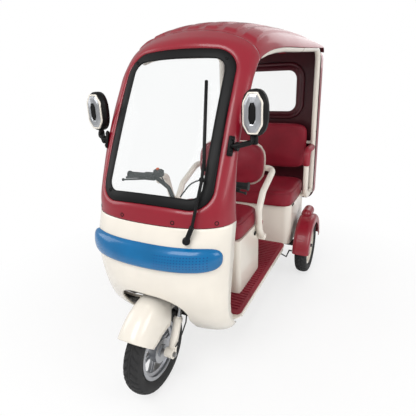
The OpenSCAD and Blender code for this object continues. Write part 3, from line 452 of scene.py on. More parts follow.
def tube_mesh(points, radius, sides):
    """Rings of a round bar along points, with rounded ends."""
    pts = [np.asarray(p, float) for p in points]
    n = len(pts)
    heads = [unit(pts[min(i + 1, n - 1)] - pts[max(i - 1, 0)]) for i in range(n)]
    u = unit(np.cross(heads[0], (0.31, 0.17, 0.94) if abs(heads[0][2]) < 0.9 else (1, 0.2, 0)))
    frames = []
    for h in heads:
        u = unit(u - h * float(u @ h))
        frames.append((u, np.cross(h, u)))

    def ring(p, f, r):
        return [p + r * (f[0] * math.cos(a) + f[1] * math.sin(a)) for a in turns(sides)]

    def cap(end, way):
        out = []
        for k in range(CAP_RINGS):
            a = math.pi / 2 * k / CAP_RINGS
            place = pts[end] + way * heads[end] * radius * CAP_REACH * math.cos(a)
            out.append(ring(place, frames[end], max(TINY, radius * math.sin(a))))
        return out

    middle_rings = [ring(p, f, radius) for p, f in zip(pts, frames)]
    return cap(0, -1) + middle_rings + cap(-1, 1)[::-1]


class Parts:
    """Gathers several closed forms into one mesh."""

    def __init__(self):
        self.verts = []
        self.faces = []

    def rings(self, rings, wrap_rows=False):
        first = len(self.verts)
        rows, cols = len(rings), len(rings[0])
        self.verts += [tuple(p) for ring in rings for p in ring]
        self.faces += grid_faces(rows, cols, True, wrap_rows, first)
        return self

    def tube(self, points, radius, sides):
        return self.rings(tube_mesh(points, radius, sides))

    def revolve(self, place, axis, outline, steps=32):
        """outline: (radius, place along the axis) pairs from one end to the other."""
        h = unit(axis)
        u = unit(np.cross(h, (0.3, 0.2, 0.9) if abs(h[2]) < 0.9 else (1, 0.1, 0)))
        v = np.cross(h, u)
        return self.rings([[np.asarray(place) + h * s + max(r, TINY) * (u * math.cos(a) + v * math.sin(a))
                            for a in turns(steps)] for r, s in outline])

    def disc(self, place, axis, radius, low, high, steps=16):
        return self.revolve(place, axis, [(0, low), (radius, low), (radius, high), (0, high)], steps)

    def block(self, place, size, turn=None, round_by=0.2):
        """A box with chamfered edges; turn is a 3 by 3 array whose columns are its axes."""
        axes = np.eye(3) if turn is None else np.asarray(turn, float)
        half = np.asarray(size, float) / 2
        c = float(min(half)) * round_by
        rows = []
        for z, k in ((-half[2], c), (-half[2] + c, 0), (half[2] - c, 0), (half[2], c)):
            x, y = half[0] - k, half[1] - k
            corner = [(x - c, y), (-x + c, y), (-x, y - c), (-x, -y + c),
                      (-x + c, -y), (x - c, -y), (x, -y + c), (x, y - c)]
            rows.append([np.asarray(place) + axes @ np.array([p[0], p[1], z]) for p in corner])
        return self.rings(rows).close(len(rows), 8)

    def close(self, count, cols):
        """Faces over the first and last of the rings that were just added."""
        start = len(self.verts) - count * cols
        self.faces.append(tuple(start + k for k in range(cols - 1, -1, -1)))
        self.faces.append(tuple(len(self.verts) - cols + k for k in range(cols)))
        return self

    def piece(self, name, material, body="chassis", **more):
        return make_piece(name, self.verts, self.faces, material, body, **more)


def from_front(points):
    return [(FA + p[0] * MM, p[1] * MM, p[2] * MM) for p in points]


# Shell surfaces
ROWS_PER = 12


def smooth_rows(rows, per):
    """Catmull-Rom curve through a table's rows."""
    rows = np.asarray(rows, float)
    ends = np.vstack([2 * rows[0] - rows[1], rows, 2 * rows[-1] - rows[-2]])
    out = []
    for i in range(len(rows) - 1):
        p0, p1, p2, p3 = ends[i:i + 4]
        for j in range(per):
            t = j / per
            out.append(0.5 * (2 * p1 + (p2 - p0) * t + (2 * p0 - 5 * p1 + 4 * p2 - p3) * t * t
                              + (3 * p1 - p0 - 3 * p2 + p3) * t ** 3))
    out.append(rows[-1])
    return np.array(out)


def canopy_rows():
    rows = [(FA + a * MM, SEAM_H + b * MM, FA + c * MM, SEAM_H + d * MM, BODY_HALF + w * MM, e)
            for a, b, c, d, w, e in FRONT_SECTIONS]
    for table, x0 in ((CROWN_SECTIONS, FA), (TAIL_SECTIONS, RA)):
        rows += [(x0 + a * MM, ROOF_H + b * MM, x0 + c * MM, ROOF_H + d * MM, CANOPY_HALF - w * MM, e)
                 for a, b, c, d, w, e in table]
    return smooth_rows(rows, ROWS_PER)


def nose_rows():
    return smooth_rows([(FA + a * MM, z * MM, FA + c * MM, z * MM, BODY_HALF - w * MM, e)
                        for z, a, c, w, e in NOSE_SECTIONS], ROWS_PER)


class Shell:
    """A surface over squared half-ellipse sections, from -90 degrees at the right to 90 at the left."""

    def __init__(self, rows, outward=1):
        self.rows = rows
        self.outward = outward
        self.last = len(rows) - 1

    def row(self, t):
        t = max(0.0, min(self.last, t))
        k = min(int(t), self.last - 1)
        return self.rows[k] + (self.rows[k + 1] - self.rows[k]) * (t - k)

    def at(self, t, angle):
        """Point at an angle from -90 to 90 degrees round the section."""
        px, pz, qx, qz, w, e = self.row(t)
        a = math.radians(max(-90, min(90, angle)))
        c = max(0, math.cos(a)) ** (2 / e)
        s = math.copysign(abs(math.sin(a)) ** (2 / e), a)
        return np.array([px + (qx - px) * (1 - c), w * s, pz + (qz - pz) * (1 - c)])

    def angle_of(self, t, y):
        w, e = self.row(t)[4:]
        share = max(-1, min(1, y / w))
        return math.degrees(math.copysign(math.asin(abs(share) ** (e / 2)), share))

    def normal(self, t, angle):
        a0, a1 = max(-89.5, angle - 0.6), min(89.5, angle + 0.6)
        t0, t1 = max(0, t - 0.2), min(self.last, t + 0.2)
        across = self.at(t, a1) - self.at(t, a0)
        along = self.at(t1, max(-89.5, min(89.5, angle))) - self.at(t0, max(-89.5, min(89.5, angle)))
        return unit(np.cross(across, along)) * self.outward


CANOPY = Shell(canopy_rows())
NOSE = Shell(nose_rows(), -1)

SCREEN_LOW = (FA + FRONT_SECTIONS[1][0] * MM, SEAM_H + FRONT_SECTIONS[1][1] * MM)
SCREEN_HIGH = (FA + FRONT_SECTIONS[5][0] * MM, SEAM_H + FRONT_SECTIONS[5][1] * MM)
TILT = math.atan2(SCREEN_LOW[0] - SCREEN_HIGH[0], SCREEN_HIGH[1] - SCREEN_LOW[1])
SCREEN_MID = np.array([SCREEN_LOW[0] - (SCREEN_MID_Z - SCREEN_LOW[1]) * math.tan(TILT), 0, SCREEN_MID_Z])
SLOPE = np.array([-math.sin(TILT), 0, math.cos(TILT)])
SCREEN_OUT = np.array([math.cos(TILT), 0, math.sin(TILT)])


BISECTIONS = 26
SCREEN_STATIONS = 8


def bisect(before, top):
    """Station at which before(t), which holds at 0, stops holding."""
    lo, hi = 0.0, float(top)
    for _ in range(BISECTIONS):
        mid = (lo + hi) / 2
        if before(mid):
            lo = mid
        else:
            hi = mid
    return (lo + hi) / 2


def on_canopy(s, y):
    """Place (t, angle) on the canopy shell at distance s up the slope and y across."""
    def short(t):
        return (CANOPY.at(t, CANOPY.angle_of(t, y)) - SCREEN_MID) @ SLOPE < s

    t = bisect(short, ROWS_PER * SCREEN_STATIONS)
    return t, CANOPY.angle_of(t, y)


def under_screen(place, deep):
    """Point of the canopy shell at place (s, y) on the slope, then straight in by deep."""
    return CANOPY.at(*on_canopy(*place)) - deep * SCREEN_OUT


def part_way(a, b, f):
    return a[0] + (b[0] - a[0]) * f, a[1] + (b[1] - a[1]) * f


CORNER_STEPS = 7
SIDE_STEPS = 10


def opening_outline(grow):
    """Points (s, y) round the screen opening, from the lower right corner's middle, in four equal runs."""
    half_s, half_y, r = SCREEN_L / 2 + grow, SCREEN_W / 2 + grow, SCREEN_R + grow
    corners = [(-1, -1, 225), (-1, 1, 135), (1, 1, 45), (1, -1, -45)]

    def corner(k):
        return np.array([corners[k][0] * (half_s - r), corners[k][1] * (half_y - r)])

    def round_it(centre, degrees):
        g = math.radians(degrees)
        return centre + r * np.array([math.cos(g), math.sin(g)])

    points = []
    for k in range(4):
        mid_a = corners[k][2]
        ca, cb = corner(k), corner((k + 1) % 4)
        start, end = round_it(ca, mid_a - 45), round_it(cb, mid_a - 45)
        points += [round_it(ca, mid_a - 45 * i / CORNER_STEPS) for i in range(CORNER_STEPS)]
        points += [start + (end - start) * i / SIDE_STEPS for i in range(SIDE_STEPS + 1)]
        points += [round_it(cb, mid_a - 45 - 45 * i / CORNER_STEPS) for i in range(1, CORNER_STEPS)]
    return points


def seam_t(angle):
    """Station at which the shell meets the roof seam's plane."""
    return bisect(lambda t: CANOPY.at(t, angle)[0] > ROOF_SEAM_X, CANOPY.last)


# How far outside the screen's opening the surround turns in, the share of the way in at which it puffs, by
# how much, and how deep its edge and lip lie
TURN_GROW = 0.017
TURN_SHARE = 0.6
TURN_PUFF = 0.0015
EDGE_DEEP = 0.0085
LIP_DEEP = 0.018
SURROUND_ROWS = 14


def surround_shell():
    inner = [on_canopy(s, y) for s, y in opening_outline(TURN_GROW)]
    side_top = seam_t(89.9)
    shares = [4 * i / len(inner) for i in range(len(inner) // 4)]
    border = [(0.0, -90 + 180 * f) for f in shares]
    border += [(side_top * f, 90.0) for f in shares]
    border += [(seam_t(90 - 180 * f), 90 - 180 * f) for f in shares]
    border += [(side_top * (1 - f), -90.0) for f in shares]
    surface = []
    for k in range(SURROUND_ROWS + 1):
        f = k / SURROUND_ROWS
        surface.append([CANOPY.at(*part_way(b, q, f)) for b, q in zip(border, inner)])
    edge, lip = ([under_screen(place, deep) for place in opening_outline(0.0)]
                 for deep in (EDGE_DEEP, LIP_DEEP))
    halfway = [a * (1 - TURN_SHARE) + b * TURN_SHARE + TURN_PUFF * SCREEN_OUT
               for a, b in zip(surface[-1], edge)]
    piece = grid_piece("surround_shell", surface + [halfway, edge, lip], "surround_red", wrap_cols=True,
                       replaces=("windscreen_surround",))
    solidify(piece, SHELL_T)


BORDER_ROWS = 5
BORDER_GROW = 0.001
BORDER_DEEP = 0.0075
BORDER_PUFF = 0.0022
GLASS_DEEP = 0.0095
PANE_OVERLAP = 0.004
PANE_T = 0.004


def screen_border():
    """The rounded black ring round the glass, following the screen's curve."""
    rows = []
    for k in range(BORDER_ROWS + 1):
        f = k / BORDER_ROWS
        deep = BORDER_DEEP - BORDER_PUFF * math.sin(math.pi * min(1, f * 1.1))
        rows.append([under_screen(part_way(a, b, f), deep)
                     for a, b in zip(opening_outline(BORDER_GROW), opening_outline(-BORDER_W))])
    piece = grid_piece("screen_border", rows, "black", wrap_cols=True, replaces=("windscreen_border",))
    solidify(piece, PANE_T)


def screen_glass():
    outline = opening_outline(PANE_OVERLAP - BORDER_W)
    rows = [[under_screen((s * k, y * k), GLASS_DEEP) for s, y in outline]
            for k in (1, 0.92, 0.8, 0.65, 0.5, 0.35, 0.2, 0.08)]
    grid = np.array(rows)
    count = len(outline)
    verts = list(grid.reshape(-1, 3)) + [np.mean(grid[-1], axis=0)]
    first = len(verts) - 1 - count
    faces = grid_faces(len(rows), count, True)
    faces += [(first + j, first + (j + 1) % count, len(verts) - 1) for j in range(count)]
    solidify(make_piece("screen_glass", verts, faces, "glass", replaces=("windscreen_glass",)), PANE_T)


RIB_HALF_SHARE = 0.74
RIB_FLANK_SHARE = 0.26
RIB_START = 0.012
RIB_FADE = 0.03
RIB_LAST_ROWS = 6


def rib_rise(y):
    k = round(y / RIB_PITCH)
    if abs(k) > (RIB_COUNT - 1) / 2:
        return 0.0
    d = abs(y - k * RIB_PITCH) / (RIB_PITCH / 2)
    return RIB_H * ease((RIB_HALF_SHARE - d) / RIB_FLANK_SHARE)


ROOF_ROWS = 84
ROOF_CROWDING = 1.15
ROOF_SIDE_ANGLE = 70
SEAM_STEP = 0.003
SEAM_GAP = 0.0015
TAIL_BEND_FROM = 0.9
TAIL_BEND_IN = 0.022
TAIL_BEND_DOWN = 0.03


def roof_shell():
    side = ROOF_SIDE_ANGLE
    angles = np.concatenate([np.linspace(-90, -side, 12, endpoint=False),
                             np.linspace(-side, side, 176, endpoint=False), np.linspace(side, 90, 13)])
    starts = [seam_t(a) for a in angles]
    rows = []
    for i in range(ROOF_ROWS + 1):
        f = (i / ROOF_ROWS) ** ROOF_CROWDING
        bend = max(0.0, (f - TAIL_BEND_FROM) / (1 - TAIL_BEND_FROM)) ** 2
        drop = SEAM_STEP if i == 0 else 0.0
        row = []
        for a, start in zip(angles, starts):
            t = start + (CANOPY.last - start) * f
            p = CANOPY.at(t, a)
            rise = rib_rise(p[1]) * ease((ROOF_SEAM_X - p[0] - RIB_START) / RIB_FADE)
            rise *= clamp((CANOPY.last - t) / RIB_LAST_ROWS)
            row.append(p + CANOPY.normal(t, a) * (rise - drop)
                       + np.array([TAIL_BEND_IN * bend - SEAM_GAP, 0, -TAIL_BEND_DOWN * bend]))
        rows.append(row)
    solidify(grid_piece("roof_shell", rows, "roof_red", replaces=("roof_panel",)), SHELL_T)


ARCH_HALF = 0.176
ARCH_LOW = 0.138
ARCH_TOP = 0.530
ARCH_ROUND = 0.110
ARCH_BLUNT = 0.7
NOSE_BOTTOM = 0.212
ARCH_STEPS = 14
FLANK_STEPS = 12
# Where the lines that run down to the arch's shoulder and to its foot start on the seam
SHOULDER_SEAM_Y = 0.215
FOOT_SEAM_Y = 0.290
NOSE_ROWS = 60
ARCH_HEM = 0.010
LOW_HEM = 0.004


def nose_t(z):
    """Station of the nose at a height."""
    heights = NOSE.rows[:, 1]
    k = int(np.searchsorted(-heights, -z))
    k = max(1, min(len(heights) - 1, k))
    f = (heights[k - 1] - z) / (heights[k - 1] - heights[k])
    return k - 1 + clamp(f)


def arch_lip():
    """Half of the nose's lower boundary as (y, z, y at the seam) from the middle outwards."""
    pts = []
    shoulder = ARCH_TOP - ARCH_ROUND
    for i in range(ARCH_STEPS + 1):
        a = math.radians(90 - 90 * i / ARCH_STEPS)
        y = ARCH_HALF * max(0, math.cos(a)) ** ARCH_BLUNT
        pts.append((y, shoulder + ARCH_ROUND * math.sin(a), SHOULDER_SEAM_Y * i / ARCH_STEPS))
    for i in range(1, FLANK_STEPS + 1):
        f = i / FLANK_STEPS
        pts.append((ARCH_HALF + (ARCH_LOW - ARCH_HALF) * f, shoulder + (NOSE_BOTTOM - shoulder) * f,
                    SHOULDER_SEAM_Y + (FOOT_SEAM_Y - SHOULDER_SEAM_Y) * f))
    wide = NOSE.row(NOSE.last)[4]
    for i in range(1, ARCH_STEPS + 1):
        a = math.radians(90 * i / ARCH_STEPS)
        y = ARCH_LOW + (wide - ARCH_LOW) * math.sin(a)
        pts.append((y, NOSE_BOTTOM, FOOT_SEAM_Y + (BODY_HALF - FOOT_SEAM_Y) * (1 - math.cos(a)) ** 0.8))
    return pts


def nose_shell():
    half = arch_lip()
    columns = [(-y, z, -s) for y, z, s in reversed(half[1:])] + half
    rows = []
    for i in range(NOSE_ROWS + 1):
        f = i / NOSE_ROWS
        row = []
        for y, z, s in columns:
            t = nose_t(SEAM_H - SEAM_GAP + (z - SEAM_H) * f)
            top_share = s / BODY_HALF
            low_share = y / NOSE.row(nose_t(z))[4]
            share = top_share + (low_share - top_share) * f * f
            row.append(NOSE.at(t, NOSE.angle_of(t, share * NOSE.row(t)[4])))
        rows.append(row)
    hem = []
    for (y, z, _), p in zip(columns, rows[-1]):
        n = NOSE.normal(nose_t(z), NOSE.angle_of(nose_t(z), y))
        in_arch = abs(y) < ARCH_HALF + 0.01 and z > NOSE_BOTTOM + 0.001
        hem.append(p - n * (ARCH_HEM if in_arch else LOW_HEM))
    rows.append(hem)
    solidify(grid_piece("nose_shell", rows, "nose_cream", flip=True, replaces=("nose_fairing",)), SHELL_T)


LAMP_Z = 0.722
LAMP_H = 0.100
LAMP_PROUD = 0.022
LAMP_END = 71
LAMP_BLUNT = 9
LAMP_DROP = 0.004
LAMP_EDGE = 0.0016
LAMP_LEAST_HIGH, LAMP_LEAST_PROUD = 0.05, 0.04
LAMP_STEPS = 110
# Columns: share of the half height, share of the proudness
LAMP_ROWS = [(-1, 0.0), (-0.97, 0.3), (-0.88, 0.62), (-0.7, 0.8), (-0.35, 0.95), (0, 1), (0.35, 1.0),
             (0.62, 0.93), (0.84, 0.72), (0.95, 0.42), (1, 0.0)]


def lamp_lens():
    rows = []
    for i in range(LAMP_STEPS + 1):
        t = 2 * i / LAMP_STEPS - 1
        taper = max(0.0, 1 - abs(t) ** LAMP_BLUNT) ** 0.5
        row = []
        for share, proud in LAMP_ROWS:
            z = LAMP_Z + share * LAMP_H / 2 * max(LAMP_LEAST_HIGH, taper) - LAMP_DROP * t * t
            st = nose_t(z)
            a = NOSE.angle_of(st, NOSE.row(st)[4] * math.sin(math.radians(LAMP_END * t)))
            n = NOSE.normal(st, a)
            n[2] = 0
            lift = LAMP_EDGE + LAMP_PROUD * proud * max(LAMP_LEAST_PROUD, taper)
            row.append(NOSE.at(st, a) + unit(n) * lift)
        rows.append(row)
    grid_piece("lamp_lens", rows, "lens", replaces=("lamp_band",), flip=True)


# Front mudguard. Columns: angle, inner radius, half width of the crown, depth of the side skirts
GUARD_FAN = [(44, 268, 74, 120), (58, 275, 76, 140), (74, 283, 76, 150), (92, 290, 76, 156),
             (104, 292, 74, 150), (112, 291, 55, 100), (134, 282, 52, 60)]
GUARD_T = 4
GUARD_SIDES = 40
SKIRT_POWER, CROWN_POWER = 0.75, 0.74


def front_guard():
    grid = []
    for angle, r, w, deep in smooth_rows(GUARD_FAN, 9):
        a0 = math.radians(angle)
        ring = []
        for i in range(GUARD_SIDES + 1):
            a = math.radians(180 * i / GUARD_SIDES - 90)
            rr = (r + GUARD_T - deep + deep * max(0, math.cos(a)) ** SKIRT_POWER) * MM
            y = (w + GUARD_T) * MM * math.copysign(abs(math.sin(a)) ** CROWN_POWER, a)
            ring.append((FA + rr * math.cos(a0), y, TYRE_R + rr * math.sin(a0)))
        grid.append(ring)
    piece = grid_piece("front_guard", grid, "cream", body="steering", replaces=("front_mudguard",))
    solidify(piece, GUARD_T * MM)


# Wheels
TYRE_W = 0.086
RIM_R = 0.139
SEAT_R = RIM_R - 0.011
TREAD_COUNT = 36
TYRE_STEPS = 288
# Half profile of the side walls: radius, share of the half width
WALL = [(SEAT_R, 0.62), (SEAT_R + 0.012, 0.62), (0.150, 0.83), (0.158, 0.955), (0.166, 0.995), (0.172, 1.0),
        (0.180, 0.985), (0.1865, 0.94), (0.1905, 0.88)]
TREAD = [0.84, 0.76, 0.68, 0.6, 0.52, 0.44, 0.36, 0.28, 0.2, 0.13, 0.11, 0.05, 0.0]
CROWN_DROP = 0.0155
CROWN_BLUNT = 2.4
GROOVE_LEAN = 1.15
GROOVES_FROM, MIDDLE_GROOVE_FROM = 0.15, 0.07
GROOVE_DEEP = 0.0052
GROOVE_SHARE = 0.3
MIDDLE_GROOVE_DEEP = 0.004


def groove(q, lead):
    """Depth of the tread at a share q of the half width; lead is the place within one groove's pitch."""
    if q > GROOVES_FROM:
        return GROOVE_DEEP if lead < GROOVE_SHARE else 0.0
    return MIDDLE_GROOVE_DEEP if q > MIDDLE_GROOVE_FROM else 0.0


def tyre(name, place, body, node):
    """A tyre with sweeping diagonal grooves and a middle rib."""
    half = TYRE_W / 2
    profile = [(r, y * half, False) for r, y in WALL]
    profile += [(TYRE_R - CROWN_DROP * y ** CROWN_BLUNT, y * half, True) for y in TREAD]
    profile += [(r, -y, grooved) for r, y, grooved in reversed(profile[:-1])]
    grid = []
    for r, y, grooved in profile:
        ring = []
        for k, turn in enumerate(turns(TYRE_STEPS)):
            q = abs(y) / half
            lead = (k / TYRE_STEPS * TREAD_COUNT + q * GROOVE_LEAN + (0.5 if y < 0 else 0)) % 1
            rr = r - (groove(q, lead) if grooved else 0.0)
            ring.append((place.x + rr * math.cos(turn), place.y + y, place.z + rr * math.sin(turn)))
        grid.append(ring)
    grid_piece(name, grid, "tyre", body=body, wrap_cols=True, replaces=(node,))


# Painted tubes
TUBE_R = 0.019
BOW_R = 0.011
BACK_BAR_R = 0.012
BACK_BAR_X = RA - 0.3343
RAIL_IN, RAIL_DOWN = 0.032, 0.004
BOW_DOWN = 0.024
STAY_Y = 272
FRAME_Y = 0.380
POST_X = RA - 0.316
LOOP_X = RA - 0.108
LOOP_LOW, LOOP_TOP, POST_BEND = 0.530, 0.898, 1.560
LOOP_BEND = 0.085


def both_sides(points):
    """The points mirrored to the right side, then as given on the left."""
    return [[(x, side * y, z) for x, y, z in points] for side in (-1, 1)]


def driver_stay_tubes():
    stay = [(x, STAY_Y, z) for x, z in ((-800, 498), (-742, 566), (-722, 690), (-800, 785), (-1019, 872))]
    path = from_front(stay + [(x, -y, z) for x, y, z in reversed(stay)])
    handle = from_front([(-722, -STAY_Y, 640), (-690, -STAY_Y - 24, 740), (-655, -STAY_Y - 30, 880),
                         (-560, -STAY_Y - 20, 862)])
    stays = Parts().tube(rounded(path, 0.055, 9), TUBE_R, 24).tube(rounded(handle, 0.05, 9), TUBE_R, 24)
    foot = [(0, -0.0212), (0.0195, -0.0212), (0.021, -0.019), (0.021, 0.018), (0.018, 0.0212), (0, 0.0212)]
    for side in (-1, 1):
        stays.revolve((FA - 0.800, side * 0.2715, 0.498), (0, side, 0), foot)
    stays.piece("driver_stay_tubes", "cream_tube", replaces=("driver_stays",))


def canopy_tubes():
    canopy = Parts()
    rail = [(x0 + c * MM, CANOPY_HALF - w * MM - RAIL_IN, ROOF_H + d * MM - RAIL_DOWN)
            for x0, table in ((RA, TAIL_SECTIONS), (FA, CROWN_SECTIONS))
            for _, _, c, d, w, _ in reversed(table)]
    post = [(POST_X, FRAME_Y, LOOP_LOW), (POST_X, FRAME_Y, POST_BEND)] + rail[2:]
    loop_foot = LOOP_LOW + 0.004
    arm = [(POST_X, FRAME_Y, LOOP_LOW + 0.02), (LOOP_X, FRAME_Y, loop_foot), (LOOP_X, FRAME_Y, LOOP_TOP),
           (POST_X, FRAME_Y, LOOP_TOP)]
    stub_z = LOOP_LOW + 0.024
    stub = [(LOOP_X - 0.02, 0.3453, stub_z), (LOOP_X - 0.02, 0.372, stub_z)]
    paths = (rounded(post, 0.07, 9), rounded(arm, LOOP_BEND, 10), stub)
    for post_path, arm_path, stub_path in zip(*map(both_sides, paths)):
        canopy.tube(post_path, TUBE_R, 24).tube(arm_path, TUBE_R, 24).tube(stub_path, 0.011, 16)
    for z in (0.776, 0.925):
        canopy.tube([(BACK_BAR_X, -FRAME_Y, z), (BACK_BAR_X, FRAME_Y, z)], BACK_BAR_R, 16)
    for station in (8, 11, 13):
        t = ROWS_PER * station
        canopy.tube([CANOPY.at(t, a) - CANOPY.normal(t, a) * BOW_DOWN for a in range(-78, 79, 4)], BOW_R, 12)
    canopy.piece("canopy_tubes", "cream_tube", replaces=("canopy_frame",))


def armrest_sleeves():
    sleeve = [(LOOP_X, FRAME_Y, LOOP_TOP - 0.104), (LOOP_X, FRAME_Y, LOOP_TOP),
              (POST_X + 0.044, FRAME_Y, LOOP_TOP)]
    pads = Parts()
    for path in both_sides(rounded(sleeve, LOOP_BEND, 10)):
        pads.tube(path, 0.0255, 24)
    pads.piece("armrest_sleeves", "pad", replaces=("armrest_pads",))


# Seats
AROUND = 120
PIPING_R = 0.0026
PIPING_ROW = 7
# Share of the height and inset of each row, from the underside to the crown's edge, with the seam near 0.8
PAD_ROWS = [(0, 0.016), (0, 0.006), (0.03, 0.001), (0.16, -0.002), (0.4, -0.004), (0.64, -0.0028), (0.76, 0),
            (0.79, 0.0012), (0.815, 0.0036), (0.84, 0.0022), (0.88, 0.006), (0.94, 0.016), (0.98, 0.03),
            (1, 0.05)]
CROWN_ROWS = (0.93, 0.84, 0.72, 0.58, 0.43, 0.28, 0.14, 0.02)
SIDE_WRINKLE = 0.0016
TOP_WRINKLE = 0.0022


def outline_point(angle, half_l, half_w, power):
    c, s = math.cos(angle), math.sin(angle)
    r = (abs(c) ** power + abs(s) ** power) ** (-1 / power)
    return half_l * r * c, half_w * r * s


def piping(ring):
    """A thin cord round a ring of points."""
    points = [np.asarray(q) for q in ring]
    mid = sum(points) / AROUND
    cord = []
    for k, q in enumerate(points):
        ahead = unit(points[(k + 1) % AROUND] - points[k - 1])
        out = q - mid
        out = unit(out - ahead * float(out @ ahead))
        side = np.cross(ahead, out)
        cord.append([q + PIPING_R * (out * math.cos(a) + side * math.sin(a)) for a in turns(8)])
    return cord


def cushion(name, node, to_world, size, crown, power, body="chassis", sag=0.0):
    """A crowned closed pad: sides that bulge, a piped seam round the top and a crown."""
    length, width, thick = size
    rng = np.random.default_rng(7)
    waves = [(rng.uniform(14, 40), rng.uniform(14, 40), rng.uniform(0, 6.3), rng.uniform(0.2, 1))
             for _ in range(9)]

    def wrinkle(x, y, z):
        return sum(k * math.sin(a * x + b * y + 9 * z + c) for a, b, c, k in waves) / 9

    grid = []
    for share, inset in PAD_ROWS:
        h = share * (thick - crown)
        ring = []
        for a in turns(AROUND):
            x, y = outline_point(a, length / 2 - inset, width / 2 - inset, power)
            ring.append(to_world(x, y, h + SIDE_WRINKLE * wrinkle(x, y, h) * (1 if h > 0.01 else 0)))
        grid.append(ring)
    top_h, top_in = thick - crown, PAD_ROWS[-1][1]
    for f in CROWN_ROWS:
        ring = []
        for a in turns(AROUND):
            half_l, half_w = (length / 2 - top_in) * f, (width / 2 - top_in) * f
            x, y = outline_point(a, half_l, half_w, power - 3 * (1 - f))
            hollow = sag * math.exp(-((x / (0.3 * length)) ** 2 + (y / (0.3 * width)) ** 2))
            rise = crown * (1 - f ** 2.2) - hollow
            ring.append(to_world(x, y, top_h + rise + TOP_WRINKLE * wrinkle(x, y, 1)))
        grid.append(ring)
    parts = Parts().rings(grid).close(len(grid), AROUND).rings(piping(grid[PIPING_ROW]), wrap_rows=True)
    piece = parts.piece(name, "vinyl", body, replaces=(node,))


DRIVER_BOX_FRONT, BENCH_BOX_FRONT = FA - 0.470, RA + 0.190
BACKREST_TILT = 8


def seats():
    driver_x = DRIVER_BOX_FRONT + 0.008 - 0.346 / 2
    driver_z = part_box("driver_cushion")[0].z
    cushion("driver_seat_pad", "driver_cushion", lambda x, y, z: (driver_x + x, y, driver_z + z),
            (0.346, 0.488, 0.122), 0.018, 6.0, "driver_lid", 0.004)
    bench_x = BENCH_BOX_FRONT + 0.026 - 0.440 / 2
    bench_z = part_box("bench_cushion")[0].z
    cushion("bench_seat_pad", "bench_cushion", lambda x, y, z: (bench_x + x, y, bench_z + z),
            (0.440, 0.684, 0.130), 0.018, 8.0, "bench_lid", 0.004)
    tilt = math.radians(BACKREST_TILT)
    ahead = np.array([math.cos(tilt), 0, math.sin(tilt)])
    up = np.array([-math.sin(tilt), 0, math.cos(tilt)])
    start = np.array([FA - 0.985, 0, 0.772]) + ahead * 0.0123 + up * 0.131
    cushion("driver_back_pad", "driver_backrest",
            lambda x, y, z: start + ahead * z + up * x - np.array([0, y, 0]),
            (0.262, 0.430, 0.066), 0.016, 3.4)
    back_x, back_z = RA - 0.322, 0.729 + 0.170
    cushion("bench_back_pad", "bench_backrest", lambda x, y, z: (back_x + z, -y, back_z + x),
            (0.340, 0.660, 0.078), 0.016, 7.0)


# CAD nodes that stay, with their finishes
KEPT = {
    "chassis_frame": "frame_black", "floor_pan": "cream", "floor_mat": "mat", "leg_shield": "cream",
    "dash_panel": "black", "rear_panel": "panel_red", "rear_window": "glass", "tail_lamps": "red_lens",
    "driver_box": "cream", "battery_pack": "battery", "box_locks": "black",
    "driver_backrest_shell": "cream", "stay_foot_pads": "pad", "bench_box": "cream",
    "rear_mudguards": "red", "mudguard_stays": "frame_black", "rear_axle": "frame_black",
    "leaf_springs": "frame_black", "mirror_housings": "black", "mirror_glasses": "mirror",
    "fork_legs": "cream_tube", "fork_tubes": "chrome", "handlebar": "black", "hand_controls": "rubber",
    "front_axle": "steel", "brake_cable": "rubber", "front_rim": "silver", "rear_rim_left": "cream_rim",
    "rear_rim_right": "cream_rim", "wiper": "black",
}


def finish_kept_nodes():
    for node, material in KEPT.items():
        piece = NODES[node]
        if not piece.data.materials:
            piece.data.materials.append(MAT[material])
        for slot in piece.material_slots:
            slot.material = MAT[material]


# Screws and bolts
SCREW_AT = [(-0.3125, 0.228), (0.316, 0.234)]
SEAM_SCREW_Y = (-0.304, -0.13, 0.13, 0.304)
SEAM_SCREW_T = 2.3


def screw(parts, place, normal, radius):
    parts.revolve(place, normal, [(0, -0.004), (radius, -0.004), (radius, 0.0005), (radius * 0.8, 0.0022),
                                  (radius * 0.45, 0.0028), (radius * 0.4, 0.0008), (0, 0.0008)], 18)


def shell_screws():
    dark = Parts()
    for s, y in [(s, side * y) for s, y in SCREW_AT for side in (-1, 1)]:
        screw(dark, under_screen((s, y), 0.004), SCREEN_OUT, 0.0085)
    for y in SEAM_SCREW_Y:
        a = CANOPY.angle_of(SEAM_SCREW_T, y)
        dark.revolve(CANOPY.at(SEAM_SCREW_T, a), CANOPY.normal(SEAM_SCREW_T, a),
                     [(0, -0.006), (0.0085, -0.006), (0.0095, 0.0006), (0.0062, 0.0008), (0.0055, -0.003),
                      (0, -0.003)], 20)
    dark.piece("shell_screws", "black")


# Mirrors: a bezel on the front of each head, and the plate on the pillar. Columns: half width, half height,
# place outwards
BEZELS = {
    "mirror_rims": ("cream", [(0.051, 0.083, -0.010), (0.051, 0.083, 0.001), (0.047, 0.079, 0.0035),
                              (0.044, 0.076, 0.0022), (0.043, 0.075, -0.010)]),
    "mirror_bevels": ("silver", [(0.0435, 0.0755, -0.008), (0.0435, 0.0755, 0.002), (0.034, 0.064, 0.0065),
                                 (0.021, 0.046, 0.0095), (0.018, 0.042, 0.0075), (0.018, 0.042, -0.008)]),
    "mirror_centres": ("black", [(0.0178, 0.0418, -0.006), (0.0178, 0.0418, 0.0055), (0.010, 0.030, 0.0066),
                                 (0.0005, 0.001, 0.0072)]),
}
BEZEL_STEPS = 48


def eight_sided(k, half_w, half_h):
    """Point k round a tall shape with cut corners."""
    a = 2 * math.pi * k / BEZEL_STEPS
    c, q = math.cos(a), math.sin(a)
    r = 1 / max(abs(c) / 0.82, abs(q) / 0.98, (abs(c) + abs(q)) / 1.36)
    return half_w * r * c, half_h * r * q


